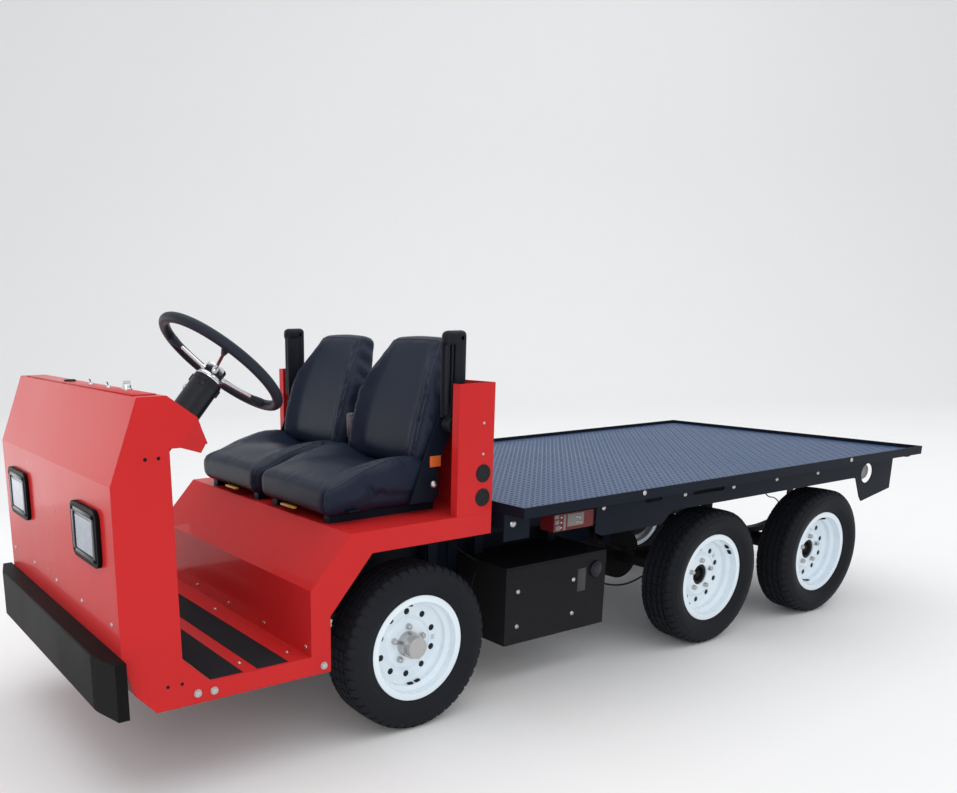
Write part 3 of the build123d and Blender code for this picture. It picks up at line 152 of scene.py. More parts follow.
BLACK = finish_of("frame_black", (0.005, 0.008, 0.015), (0.008, 0.012, 0.021), 0.38, dust=0.05, gloss=0.07)
paint(BLACK, "chassis_rails", "cross_members", "side_skirts", "deck_rim", "seat_tracks", "power_block")

# Axles, springs and steering links: cast and forged steel in thin black paint, the links left bare.
DULL_BLACK = finish_of("axle_black", (0.006, 0.006, 0.007), (0.013, 0.012, 0.012), 0.5, scale=260.0, strength=0.35,
                       gloss=0.08)
BARE_STEEL = finish_of("bare_steel", (0.16, 0.16, 0.17), (0.09, 0.085, 0.08), 0.4, metal=1.0, scale=300.0)
paint(DULL_BLACK, "axles", "springs", "knuckle_left", "knuckle_right", "steering_gear")
paint(BARE_STEEL, "track_rod", "drag_link", "pitman_arm", "steering_shaft")

# Tyres: black road tyres on twelve inch wheels, moulded with three tread ribs between zigzag grooves,
# slotted shoulders and ringed sidewalls that are left bare of any lettering.
PITCHES = 48
TREAD_R = 0.264
TREAD_CROWN = 0.6
TREAD_EDGE = 0.0540
SHOULDER_EDGE = 0.0470
BEAD_X, BEAD_R = 0.0530, 0.1530
GROOVE_CENTRES = (-0.036, -0.0125, 0.0125, 0.036)
GROOVE_DEPTH = 0.0065
GROOVE_FLOOR, GROOVE_MOUTH = 0.0026, 0.0036
RIB_MIDDLE = 0.0118
ZIGZAG, ZIGZAG_REACH = 0.0013, 0.045
SIPE_DEPTH = 0.003
SLOT_DEPTH, SLOT_RUN, SLOT_FOOT = 0.0042, 0.01, 0.244
SLOT_X, SLOT_R = 0.0445, 0.2448
SIDEWALL = [(0.0530, 0.1695), (0.0560, 0.1710), (0.0600, 0.1712), (0.0622, 0.1735), (0.0628, 0.1775),
            (0.0655, 0.1830), (0.0686, 0.1895), (0.0700, 0.1935), (0.0709, 0.1945), (0.0724, 0.2010),
            (0.0737, 0.2080), (0.0744, 0.2150), (0.0745, 0.2220), (0.0741, 0.2270), (0.0731, 0.2285),
            (0.0722, 0.2340), (0.0706, 0.2400), (0.0694, 0.2440), (0.0680, 0.2450), (0.0652, 0.2512),
            (0.0618, 0.2560), (0.0590, 0.2588), (0.0565, 0.2604)]
# shares of a pitch, and which of them stand in the sipe across the ribs and in the shoulder's slot
PITCH_STEPS = (0.0, 0.012, 0.10, 0.112, 0.28, 0.46, 0.472, 0.74, 0.752, 0.88)
SIPE_STEPS = (1, 2)
SLOT_STEPS = (6, 7)
SHARP_ANGLE = math.radians(38)


def mesh_from(name, verts, faces):
    mesh = bpy.data.meshes.new(name)
    mesh.from_pydata(verts, [], faces)
    return mesh


def mesh_of(name, bm):
    mesh = bpy.data.meshes.new(name)
    bm.to_mesh(mesh)
    bm.free()
    return mesh


def smoothed(mesh):
    """Smooth shading, with every fold over the sharp angle kept crisp."""
    mesh.polygons.foreach_set("use_smooth", [True] * len(mesh.polygons))
    mesh.set_sharp_from_angle(angle=SHARP_ANGLE)
    return mesh


def tread_profile():
    """(x, kind) across the tread from one shoulder to the other; kind 1 is a groove's floor."""
    stations = [(-TREAD_EDGE, 0), (-SHOULDER_EDGE, 0)]
    for centre in GROOVE_CENTRES:
        stations += [(centre - GROOVE_MOUTH, 0), (centre - GROOVE_FLOOR, 1), (centre + GROOVE_FLOOR, 1),
                     (centre + GROOVE_MOUTH, 0), (centre + RIB_MIDDLE, 0)]
    stations[-1] = (SHOULDER_EDGE, 0)
    return stations + [(TREAD_EDGE, 0)]


def tyre_mesh():
    profile = [(-x, r, -1) for x, r in SIDEWALL[:18:3] + SIDEWALL[18:]]
    profile += [(x, TREAD_R - TREAD_CROWN * x * x, kind) for x, kind in tread_profile()]
    profile += [(x, r, -1) for x, r in reversed(SIDEWALL)]
    profile += [(BEAD_X, BEAD_R, -1), (-BEAD_X, BEAD_R, -1)]
    verts, faces = [], []
    columns = PITCHES * len(PITCH_STEPS)
    for pitch in range(PITCHES):
        for step, share in enumerate(PITCH_STEPS):
            turn = 2 * math.pi * (pitch + share) / PITCHES
            zigzag = ZIGZAG * (1 if share < 0.5 else -1)
            for x, r, kind in profile:
                across = x
                if kind == 1:
                    r -= GROOVE_DEPTH
                if kind >= 0 and abs(x) < ZIGZAG_REACH:
                    across += zigzag
                    if kind == 0 and step in SIPE_STEPS:
                        r -= SIPE_DEPTH
                if abs(x) > SLOT_X and r > SLOT_R and step in SLOT_STEPS:
                    r -= SLOT_DEPTH * min(1.0, (r - SLOT_FOOT) / SLOT_RUN)
                verts.append((across, r * math.sin(turn), r * math.cos(turn)))
    count = len(profile)
    for column in range(columns):
        following = (column + 1) % columns
        for k in range(count):
            after = (k + 1) % count
            faces.append((column * count + k, following * count + k, following * count + after,
                          column * count + after))
    mesh = mesh_from("tyre", verts, faces)
    mesh.flip_normals()
    return smoothed(mesh)


def place_object(name, mesh, place=(0, 0, 0), turn=(0, 0, 0)):
    made = bpy.data.objects.new(name, mesh)
    made.location = place
    made.rotation_euler = turn
    bpy.context.scene.collection.objects.link(made)
    return made


def fitted(name, mesh, body="chassis", place=(0, 0, 0), turn=(0, 0, 0)):
    """A new piece, linked into the scene and attached to the body that it rides on."""
    made = place_object(name, mesh, place, turn)
    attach(made, body)
    return made


WHEEL_X = 0.4735
AXLES = {"front": -0.812, "middle": 0.605, "rear": 1.321}
SIDES = (("left", 1), ("right", -1))
TYRE_BLACK = finish_of("tyre_rubber", (0.0090, 0.0100, 0.0135), (0.0130, 0.0145, 0.0190), 0.55, dust=0.05,
                       dust_top=0.3, scale=900.0, strength=0.2, edge=0.0, scratch=0.05, gloss=0.10)
TYRE = tyre_mesh()
TYRE.materials.append(TYRE_BLACK)
for side, sign in SIDES:
    for index, (place, axle_y) in enumerate(AXLES.items()):
        tyre = fitted(f"tyre_dressed_{place}_{side}", TYRE, f"wheel_{place}_{side}",
                      (sign * WHEEL_X, axle_y, TREAD_R), (0.5 * math.pi * index, 0, 0 if sign > 0 else math.pi))
        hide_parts(f"tyre_{place}_{side}")

# Wheels: pressed steel rims and discs in white enamel, the front ones on zinc-plated hubs with grease caps,
# the rear ones open over a dark hub; five plated nuts each, and a rubber valve.
WHEEL_WHITE = finish_of("wheel_enamel", (0.84, 0.93, 0.98), (0.76, 0.86, 0.94), 0.24, coat=0.3, dust=0.06,
                        dust_top=0.3, scale=60.0, strength=0.04, edge=0.002)
ZINC = finish_of("zinc_plate", (0.62, 0.62, 0.61), (0.44, 0.44, 0.43), 0.30, metal=1.0, scale=240.0, strength=0.2)
HUB_BLACK = finish_of("hub_black", (0.008, 0.008, 0.010), (0.022, 0.021, 0.020), 0.5, strength=0.3, gloss=0.2)
DISC_X = 0.478
DRUM_X = DISC_X - 0.0105
HUB_R = 0.0412
BORE_R = 0.0395
VENT_REACH = 0.1165
LUG_CIRCLE = 0.05715
LUG_COUNT = 5


def lug_nut_mesh():
    """A conical-seat hexagon nut with a domed end, its axis along +X, its seat at x = 0."""
    rings = [(0.0, 0.0098), (0.0035, 0.0098), (0.0045, 0.0092), (0.0120, 0.0092), (0.0138, 0.0080),
             (0.0160, 0.0062), (0.0172, 0.0030), (0.0175, 0.0)]
    verts = []
    for x, r in rings:
        for corner in range(12):
            turn = math.pi * corner / 6
            reach = r if x in (0.0, 0.0035) or x > 0.0121 else r * (1.0 if corner % 2 else 0.90)
            verts.append((x, reach * math.cos(turn), reach * math.sin(turn)))
    return mesh_from("lug_nut", verts, ring_faces(len(rings), 12))


def joined(name, parts, materials=()):
    """One mesh from (mesh, matrix) pairs; the pieces keep their own faces."""
    bm = bmesh.new()
    for mesh, matrix in parts:
        start = len(bm.verts)
        bm.from_mesh(mesh)
        bm.verts.ensure_lookup_table()
        bmesh.ops.transform(bm, matrix=matrix, verts=bm.verts[start:])
    made = mesh_of(name, bm)
    made.set_sharp_from_angle(angle=SHARP_ANGLE)
    for material in materials:
        made.materials.append(material)
    return made


def in_place(meshes):
    """Meshes that already stand where they belong, paired up for joined()."""
    return [(mesh, Matrix.Identity(4)) for mesh in meshes]


def assembled(name, parts, material, body="chassis"):
    """One piece joined from parts of one material."""
    return fitted(name, joined(name, parts, [material]), body)


def ring_faces(rings, segments):
    """Faces between rings of points that follow each other."""
    return [(ring * segments + k, ring * segments + (k + 1) % segments,
             (ring + 1) * segments + (k + 1) % segments, (ring + 1) * segments + k)
            for ring in range(rings - 1) for k in range(segments)]


def cylinder_mesh(name, radius, depth, segments, bevel):
    """A closed round bar along +X from x = 0 to depth, with a bevel at the far rim."""
    return spun_mesh(name, [(0.0, 0.0), (0.0, radius), (depth - bevel, radius), (depth, radius - bevel), (depth, 0.0)],
                     segments)


def spun_mesh(name, rings, segments=24):
    """A body turned about the X axis from (x, radius) points."""
    verts = []
    for x, r in rings:
        for k in range(segments):
            turn = 2 * math.pi * k / segments
            verts.append((x, r * math.cos(turn), r * math.sin(turn)))
    mesh = mesh_from(name, verts, ring_faces(len(rings), segments))
    bm = bmesh.new()
    bm.from_mesh(mesh)
    bmesh.ops.remove_doubles(bm, verts=bm.verts, dist=1e-6)
    bmesh.ops.recalc_face_normals(bm, faces=bm.faces)
    bm.to_mesh(mesh)
    bm.free()
    return smoothed(mesh)


LUG_NUT = lug_nut_mesh()
VALVE = spun_mesh("valve", [(0.0, 0.0), (0.0, 0.0072), (0.006, 0.0066), (0.008, 0.0042), (0.028, 0.0040),
                            (0.030, 0.0036), (0.034, 0.0036), (0.035, 0.0)], 12)
for side, sign in SIDES:
    for place, axle_y in AXLES.items():
        wheel = NODES[f"wheel_{place}_{side}"]
        paint(WHEEL_WHITE, wheel.name)
        wheel.data.materials.append(ZINC)
        wheel.data.materials.append(HUB_BLACK)
        for face in wheel.data.polygons:
            x = sign * face.center.x
            r = math.hypot(face.center.y - axle_y, face.center.z - TREAD_R)
            if place == "front" and r < HUB_R and x > DISC_X - 0.002:
                face.material_index = 1
            elif r < VENT_REACH and x < DRUM_X or place != "front" and r < BORE_R:
                face.material_index = 2
        nuts = []
        for k in range(LUG_COUNT):
            turn = math.pi / 2 + 2 * math.pi * k / LUG_COUNT
            spot = Vector((sign * (DISC_X - 0.001), axle_y + LUG_CIRCLE * math.cos(turn),
                           TREAD_R + LUG_CIRCLE * math.sin(turn)))
            facing = Matrix.Rotation(0 if sign > 0 else math.pi, 4, "Z")
            nuts.append((LUG_NUT, Matrix.Translation(spot) @ facing))
        fitted(f"lug_nuts_{place}_{side}", joined("lug_nuts", nuts, [ZINC]),
               f"wheel_{place}_{side}")

# Load deck: chequered steel plate with small crossed lozenges, rolled in one piece and painted dark grey,
# lying in the folded black rim; round-head bolts hold the side plates and the rim.
DECK_GREY = finish_of("deck_enamel", (0.037, 0.072, 0.152), (0.049, 0.088, 0.173), 0.32, dust=0.0, scale=300.0,
                      strength=0.15, edge=0.0, scratch=0.4, patch_scale=1.6, gloss=0.10)
LOZENGE_PITCH = 0.0245
LOZENGE_HALF = 0.0105
LOZENGE_WIDTH = 0.0030
LOZENGE_HEIGHT = 0.0016
LOZENGE_SINK = 0.0002
PLATE_MARGIN = 0.03
plate_low, plate_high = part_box("deck_plate")


def lozenge_mesh():
    verts, faces = [], []
    across = int((plate_high.x - plate_low.x - PLATE_MARGIN) / LOZENGE_PITCH)
    along = int((plate_high.y - plate_low.y - PLATE_MARGIN) / LOZENGE_PITCH)
    for i in range(across):
        for j in range(along):
            x = (i - (across - 1) / 2) * LOZENGE_PITCH
            y = (plate_low.y + plate_high.y) / 2 + (j - (along - 1) / 2) * LOZENGE_PITCH
            long_x = (i + j) % 2 == 0
            start = len(verts)
            for share, width, height in ((-1.0, 0.0, 0.0), (-0.55, 1.0, 1.0), (0.55, 1.0, 1.0), (1.0, 0.0, 0.0)):
                run = share * LOZENGE_HALF
                for side in (-1, 0, 1):
                    rise = LOZENGE_HEIGHT * height if side == 0 else -LOZENGE_SINK
                    offset = side * LOZENGE_WIDTH * max(width, 0.15)
                    verts.append((x + (run if long_x else offset), y + (offset if long_x else run),
                                  plate_high.z + rise))
            for k in range(3):
                low = start + 3 * k
                faces.append((low, low + 1, low + 4, low + 3))
                faces.append((low + 1, low + 2, low + 5, low + 4))
    mesh = mesh_from("deck_lozenges", verts, faces)
    bm = bmesh.new()
    bm.from_mesh(mesh)
    bmesh.ops.recalc_face_normals(bm, faces=bm.faces)
    for face in bm.faces:
        if face.normal.z < 0:
            face.normal_flip()
    bm.to_mesh(mesh)
    bm.free()
    mesh.materials.append(DECK_GREY)
    return mesh


paint(DECK_GREY, "deck_plate")
fitted("deck_lozenges", lozenge_mesh())

BOLT_STEEL = finish_of("bolt_steel", (0.62, 0.61, 0.60), (0.42, 0.41, 0.40), 0.30, metal=1.0, scale=400.0)


def dome_mesh(name, radius, height, segments=14):
    """A button head along +X, standing on x = 0."""
    rings = [(0.0, radius)] + [(height * math.sin(math.radians(a)), radius * math.cos(math.radians(a)))
                               for a in (30, 60, 80)] + [(height, 0.0)]
    return spun_mesh(name, rings, segments)


TURN_TO = {"+x": Matrix.Identity(4), "-x": Matrix.Rotation(math.pi, 4, "Z"),
           "+z": Matrix.Rotation(-math.pi / 2, 4, "Y"), "-y": Matrix.Rotation(-math.pi / 2, 4, "Z"),
           "+y": Matrix.Rotation(math.pi / 2, 4, "Z"), "-z": Matrix.Rotation(math.pi / 2, 4, "Y")}


def fasteners(name, head, spots, material, body="chassis"):
    """One joined piece of like heads at (x, y, z, facing) spots, given in millimetres."""
    parts = [(head, Matrix.Translation(Vector((x, y, z)) / 1000) @ TURN_TO[facing]) for x, y, z, facing in spots]
    return assembled(name, parts, material, body)


def both_sides(*spots):
    """Spots at (x, y, z) on the left side, then their mirror places on the right."""
    return [(side * x, y, z, facing) for side, facing in ((1, "+x"), (-1, "-x")) for x, y, z in spots]


BODY_X = 546
RIM_X = 638
fasteners("plate_bolts", dome_mesh("plate_bolt", 0.0085, 0.0040),
          both_sides((BODY_X, -39, 617), (RIM_X, 50, 673), (BODY_X, 385, 617), (BODY_X, 666, 615), (BODY_X, 936, 617),
                     (BODY_X, 1213, 615), (RIM_X, 1280, 673)), BOLT_STEEL)
fasteners("nose_bolts", dome_mesh("nose_bolt", 0.0125, 0.0060), both_sides((BODY_X, -452, 615)), BOLT_STEEL)

# Body: bright red enamelled sheet, folded and riveted; round-head rivets along the folds, hex bolts where
# the side plates meet the floor, two black grommets in each end post.
RED = finish_of("red_enamel", (0.55, 0.020, 0.021), (0.59, 0.024, 0.025), 0.30, coat=0.14, dust=0.02, dust_top=0.5,
                scale=35.0, strength=0.012, edge=0.0025, scratch=0.05, gloss=0.05)
paint(RED, "body_sides", "cowl", "floor_and_seat_base", "back_wall")
RIVET = dome_mesh("rivet", 0.0065, 0.0035)
front_rivets = [(x, -1760.0, 508.0, "-y") for x in (-490, -245, 0, 245, 490)]
riser_rivets = [(x, -1204.0, 343.0, "-y") for x in (-487, -236, 15, 261, 514)]
floor_rivets = [(x, y, 321.0, "+z") for x in (-487, -15, 470) for y in (-1240, -1395, -1545)]
fasteners("body_rivets", RIVET, front_rivets + riser_rivets + floor_rivets, BOLT_STEEL)
fasteners("blank_screws", dome_mesh("blank_screw", 0.0050, 0.0012),
          both_sides((BODY_X, -1667, 930), (BODY_X, -1632, 930), (BODY_X, -1640, 330), (BODY_X, -1600, 330)), BLACK)
HEX_HEAD = spun_mesh("hex_head", [(0.0, 0.0115), (0.0015, 0.0115), (0.0016, 0.0092), (0.0062, 0.0092),
                                  (0.0070, 0.0080), (0.0070, 0.0)], 12)
fasteners("body_bolts", HEX_HEAD, both_sides((BODY_X, -1557, 294), (BODY_X, -1509, 291), (BODY_X, -1163, 288)),
          BOLT_STEEL)
PLUG = spun_mesh("post_plug", [(0.0, 0.028), (0.0018, 0.028), (0.0034, 0.0262), (0.0036, 0.0235), (0.0022, 0.022),
                               (0.0020, 0.0)], 40)
GROMMET_BLACK = finish_of("grommet", (0.008, 0.008, 0.010), (0.014, 0.014, 0.016), 0.45, scale=500.0, gloss=0.2)
fasteners("post_plugs", PLUG, both_sides((BODY_X, -584, 790), (BODY_X, -584, 715)), GROMMET_BLACK)
fasteners("post_screws", dome_mesh("post_screw", 0.0045, 0.0025),
          both_sides((BODY_X, -585, 943), (BODY_X, -585, 849)), BOLT_STEEL)

# Shade sheets: two black sheets inside each rail under the seat deck, the front one cut lower for the slope of the
# floor.
# They are painted shade: they close the view between the front wheels with black where the underside lies in shade.
SHADE_SHEET_THICK = 4
SHADE_SHEET_FOOT = 340
# y from, y to and top of each sheet
SHADE_SHEETS = ((-1170, -1050, 480), (-1052, -250, 655))


def slab(name, low, high, bevel=0.0, material=None, segments=2):
    """A box in millimetres with rounded edges, as a mesh in metres."""
    bm = bmesh.new()
    bmesh.ops.create_cube(bm, size=1.0)
    for vert in bm.verts:
        vert.co = Vector([(high[i] if vert.co[i] > 0 else low[i]) / 1000 for i in range(3)])
    if bevel:
        bmesh.ops.bevel(bm, geom=bm.edges, offset=bevel / 1000, segments=segments, profile=0.5, affect="EDGES")
    mesh = mesh_of(name, bm)
    if material:
        mesh.materials.append(material)
    return smoothed(mesh)


# Black sheets put in as painted shade under the seat deck.
shade_sheet_meshes = [slab("shade_sheet", (x, y_low, SHADE_SHEET_FOOT), (x + SHADE_SHEET_THICK, y_high, top), 1)
          for x in (190, -194) for y_low, y_high, top in SHADE_SHEETS]
assembled("painted_shade_sheets", in_place(shade_sheet_meshes), BLACK)

# Floor strips: two bands of black anti-slip tape with a gritty face, stuck to the red floor across the footwell
# from side to side.
GRIT = finish_of("anti_slip", (0.010, 0.011, 0.014), (0.017, 0.018, 0.023), 0.75, scale=1500.0, strength=0.8,
                 dust=0.03, edge=0.0, gloss=0.10)
STRIP_HALF_X, STRIP_HALF_Y = 538, 49
strips = [slab("strip", (-STRIP_HALF_X, y - STRIP_HALF_Y, 321.0), (STRIP_HALF_X, y + STRIP_HALF_Y, 322.3), 0.4)
          for y in (-1324, -1467)]
assembled("floor_strips", in_place(strips), GRIT)

# Bumper: one moulded bar of black rubber with chamfered ends, bolted through the nose from inside. Its face is
# bare. The headlights' surrounds are of the same rubber.
RUBBER = finish_of("moulded_rubber", (0.0022, 0.0020, 0.0028), (0.0042, 0.0040, 0.0052), 0.46, scale=700.0,
                   strength=0.3, edge=0.006, gloss=0.07)
paint(RUBBER, "bumper", "headlight_frames")

# Headlights: a dimpled glass pane over a square reflector, held in a rubber surround by a stepped inner lip
# of black plastic.
LENS = finish_of("lamp_lens", (0.20, 0.24, 0.30), (0.36, 0.40, 0.47), 0.14, dust=0.0, scale=240.0, strength=0.7,
                 patch_scale=22.0, edge=0.0, scratch=0.0)
LAMP_LIP = finish_of("lamp_lip", (0.006, 0.007, 0.010), (0.012, 0.013, 0.017), 0.3, dust=0.0, gloss=0.3)
paint(LENS, "headlight_lenses")
LENS_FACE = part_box("headlight_lenses")[0].y
LAMP_X = 0.345
PANE_Z, LIP_Z = 0.716, 0.720
# corners of the lip's top, bottom, left and right bars, in millimetres from its middle
LIP_BARS = (((-92, 0, 50), (92, 5, 63)), ((-92, 0, -63), (92, 5, -52)), ((-92, 0, -63), (-74, 5, 63)),
            ((74, 0, -63), (92, 5, 63)))


def pane_mesh(name, half_x, half_z, cells_x, cells_z, lift):
    """A glass pane facing -Y, pressed into rows of small pillows."""
    verts, faces = [], []
    for j in range(2 * cells_z + 1):
        for i in range(2 * cells_x + 1):
            rise = lift if i % 2 and j % 2 else 0.4 * lift if i % 2 or j % 2 else 0.0
            verts.append((half_x * (i / cells_x - 1), -rise, half_z * (j / cells_z - 1)))
    width = 2 * cells_x + 1
    for j in range(2 * cells_z):
        for i in range(2 * cells_x):
            corner = j * width + i
            faces.append((corner, corner + 1, corner + 1 + width, corner + width))
    mesh = mesh_from(name, verts, faces)
    mesh.polygons.foreach_set("use_smooth", [True] * len(faces))
    mesh.materials.append(LENS)
    return mesh


for side, sign in SIDES:
    fitted(f"headlight_pane_{side}", pane_mesh("headlight_pane", 0.070, 0.046, 14, 9, 0.0012),
           place=(sign * LAMP_X, LENS_FACE - 0.0016, PANE_Z))
    stand = Matrix.Translation((sign * LAMP_X, LENS_FACE - 0.0045, LIP_Z))
    lips = [(slab("lip", low, high, 1.5), stand) for low, high in LIP_BARS]
    fitted(f"headlight_lip_{side}", joined("headlight_lip", lips, [LAMP_LIP]))

# Cowl top: a flat lid of red sheet screwed over the nose, with two plated toggle switches, a keyed switch and a
# grey plug pushed into a hole.
LID_TOP = 1083.6
lid = slab("lid", (-500, -1672, 1081.0), (500, -1610, LID_TOP), 0.9)
assembled("cowl_lid", in_place([lid]), RED)
PLATED = finish_of("bright_plate", (0.78, 0.79, 0.81), (0.60, 0.62, 0.64), 0.10, metal=1.0, dust=0.0, scale=90.0,
                   strength=0.03, scratch=0.1)
TOGGLE_RING = spun_mesh("toggle_ring", [(0.0, 0.0085), (0.0025, 0.0085), (0.0032, 0.0070), (0.0060, 0.0068),
                                        (0.0065, 0.0040), (0.0065, 0.0)], 14)
TOGGLE_STEM = spun_mesh("toggle_stem", [(0.0, 0.0018), (0.010, 0.0022), (0.013, 0.0030), (0.015, 0.0016),
                                        (0.0155, 0.0)], 10)
KEY_BARREL = spun_mesh("key_barrel", [(0.0, 0.0150), (0.003, 0.0150), (0.004, 0.0125), (0.012, 0.0120),
                                      (0.0135, 0.0105), (0.0135, 0.0)], 20)
TOGGLE_TILT = 0.3
to_top = TURN_TO["+z"]
switches = []
for x in (83, 233):
    stand = Matrix.Translation((x / 1000, -1.640, LID_TOP / 1000))
    switches.append((TOGGLE_RING, stand @ to_top))
    switches.append((TOGGLE_STEM, stand @ Matrix.Translation((0, 0, 0.004)) @ Matrix.Rotation(TOGGLE_TILT, 4, "X")
                     @ to_top))
key_stand = Matrix.Translation((0.330, -1.625, LID_TOP / 1000))
switches.append((KEY_BARREL, key_stand @ to_top))
switches.append((slab("key", (-2, -11, 8), (2, 11, 24), 1.0), key_stand))
assembled("cowl_switches", switches, PLATED)
fasteners("cowl_plug", spun_mesh("cowl_plug", [(0.0, 0.018), (0.003, 0.018), (0.005, 0.014), (0.0055, 0.0)], 24),
          [(-119, -1640, LID_TOP, "+z")], GROMMET_BLACK)

# Seats: moulded foam under black vinyl, each sewn from a centre panel and wrapped sides with a flat seam between
# them, on a pressed pan that slides on two runners. Cushion and back are puffed as cloth.
VINYL = finish_of("seat_vinyl", (0.0085, 0.0135, 0.0290), (0.0130, 0.0195, 0.0390), 0.36, dust=0.0, scale=1400.0,
                  strength=0.35, edge=0.0, scratch=0.03, patch_scale=9.0, gloss=0.15)
# The piping is paler and glossier than the vinyl: its paler colour is a painted highlight along the seams.
PIPING_HIGHLIGHT = finish_of("seat_piping_painted_highlight", (0.018, 0.023, 0.040), (0.028, 0.035, 0.057), 0.30, dust=0.0, scale=900.0,
                   strength=0.2, edge=0.0, scratch=0.0, gloss=0.3)
CUSHION_HALF = Vector((0.214, 0.221, 0.055))
CUSHION_ROUND = 0.032
BACK_DEEP, BACK_TALL = 0.040, 0.215
BACK_HALF = Vector((0.206, BACK_DEEP, BACK_TALL))
BACK_ROUND = 0.028
SEAT_X = 0.225
CUSHION_Y, CUSHION_Z = -0.866, 0.744
BACK_FOOT_Y, BACK_FOOT_Z = -0.722, 0.796
BACK_LEAN = math.radians(14)
VOXEL = 0.0066
PUFF_FRAMES = 20
PUFF_CAP = 0.006


def smooth_share(value, low, high):
    share = min(1.0, max(0.0, (value - low) / (high - low)))
    return share * share * (3 - 2 * share)


def rounded_point(cube_point, half, radius):
    """Where a point of the unit cube's surface goes on a box with rounded edges."""
    point = Vector(cube_point[i] * half[i] for i in range(3))
    core = Vector(min(max(point[i], radius - half[i]), half[i] - radius) for i in range(3))
    out = point - core
    return core + out.normalized() * radius if out.length > 1e-9 else point


def cushion_point(cube_point):
    """Unit cube to cushion: -y is the front edge, +z the top; the bolsters crest two thirds of the way back."""
    p = rounded_point(cube_point, CUSHION_HALF, CUSHION_ROUND)
    t = abs(p.x) / CUSHION_HALF.x
    run = p.y / CUSHION_HALF.y
    top = smooth_share(p.z, -0.03, 0.035)
    bolster = smooth_share(t, 0.50, 0.90)
    crest = smooth_share(run, -1.0, 0.30) * (1 - 0.75 * smooth_share(run, 0.42, 1.0))
    crown = (1 - t * t) * smooth_share(run, -0.95, -0.35) * (1 - smooth_share(run, -0.25, 0.6))
    p.z += top * (0.048 * bolster * crest + 0.014 * crown - 0.020 * smooth_share(-run, 0.25, 1.0)
                  - 0.010 * (1 - t * t) * smooth_share(run, 0.0, 0.7))
    p.x *= 1 - 0.008 * (1 - top)
    p.x += 0.0022 * math.sin(34 * p.y + 26 * p.z) * smooth_share(t, 0.9, 1.0) * (1 if p.x > 0 else -1)
    return p


def back_point(cube_point):
    """Unit cube to seat back: -y is its front, +z its top; side bolsters stand forward and fade upwards."""
    p = rounded_point(cube_point, BACK_HALF, BACK_ROUND)
    t = abs(p.x) / BACK_HALF.x
    rise = p.z / BACK_HALF.z
    front = smooth_share(-p.y, -0.02, 0.035)
    narrow = max(0.0, (rise - 0.10) / 0.90)
    p.x *= 1 - 0.36 * narrow ** 0.95
    p.z -= 0.006 * t * t * max(0.0, rise) ** 4
    p.x *= 1 - 0.05 * smooth_share(-rise, 0.55, 1.0)
    p.y -= front * (0.030 * smooth_share(t, 0.55, 0.92) * (1 - smooth_share(rise, 0.15, 0.95)))
    p.y -= 0.012 * math.cos(rise * 2.2 + 0.9) * front
    p.y += 0.014 * max(0.0, rise) ** 3
    flank = smooth_share(t, 0.93, 1.0) * (1 - smooth_share(abs(p.y), 0.030, 0.040))
    p.x += flank * 0.0035 * math.sin(95 * p.z + 40 * p.y) * (1 if p.x > 0 else -1)
    return p


def soft_mesh(name, shape, cuts, place):
    bm = bmesh.new()
    bmesh.ops.create_cube(bm, size=2.0)
    bmesh.ops.subdivide_edges(bm, edges=bm.edges, cuts=cuts, use_grid_fill=True)
    for vert in bm.verts:
        vert.co = place @ shape(vert.co)
    return mesh_of(name, bm)


def puffed(obj):
    """Remesh evenly, blow the skin up as cloth and keep each point's travel under the cap."""
    bpy.context.view_layer.objects.active = obj
    remesh = obj.modifiers.new("even", "REMESH")
    remesh.mode = "VOXEL"
    remesh.voxel_size = VOXEL
    bpy.ops.object.modifier_apply(modifier=remesh.name)
    start = [vert.co.copy() for vert in obj.data.vertices]
    cloth = obj.modifiers.new("skin", "CLOTH")
    cloth.settings.use_pressure = True
    cloth.settings.uniform_pressure_force = 4.0
    cloth.settings.effector_weights.gravity = 0.0
    cloth.settings.tension_stiffness = 12.0
    cloth.settings.compression_stiffness = 12.0
    cloth.settings.quality = 4
    for number in range(1, PUFF_FRAMES + 1):
        bpy.context.scene.frame_set(number)
    blown = obj.evaluated_get(bpy.context.evaluated_depsgraph_get()).data
    ends = [vert.co.copy() for vert in blown.vertices]
    obj.modifiers.remove(cloth)
    for vert, first, last in zip(obj.data.vertices, start, ends):
        travel = last - first
        if travel.length > PUFF_CAP:
            travel = travel.normalized() * PUFF_CAP
        vert.co = first + travel
    bpy.context.scene.frame_set(1)
    finer = obj.modifiers.new("finer", "SUBSURF")
    finer.levels = finer.render_levels = 1
    obj.data.polygons.foreach_set("use_smooth", [True] * len(obj.data.polygons))


def tube_mesh(name, points, radius, sides):
    """A round tube that follows points, closed at both ends."""
    verts, count = [], len(points)
    for i, point in enumerate(points):
        before = points[max(i - 1, 0)]
        after = points[min(i + 1, count - 1)]
        run = (after - before).normalized()
        side = run.cross(Vector((0, 0, 1)))
        if side.length < 0.2:
            side = run.cross(Vector((1, 0, 0)))
        side.normalize()
        rise = side.cross(run)
        for k in range(sides):
            turn = 2 * math.pi * k / sides
            verts.append(point + radius * (math.cos(turn) * side + math.sin(turn) * rise))
    ends = [tuple(range(sides - 1, -1, -1)), tuple((count - 1) * sides + k for k in range(sides))]
    mesh = mesh_from(name, verts, ring_faces(count, sides) + ends)
    mesh.polygons.foreach_set("use_smooth", [True] * len(mesh.polygons))
    return mesh


def laid_on(obj, points, lift):
    """The points moved to the nearest place on a piece's skin, lifted off it a little."""
    moved = []
    for point in points:
        spot, normal = obj.closest_point_on_mesh(point)[1:3]
        moved.append(spot + normal * lift)
    return moved


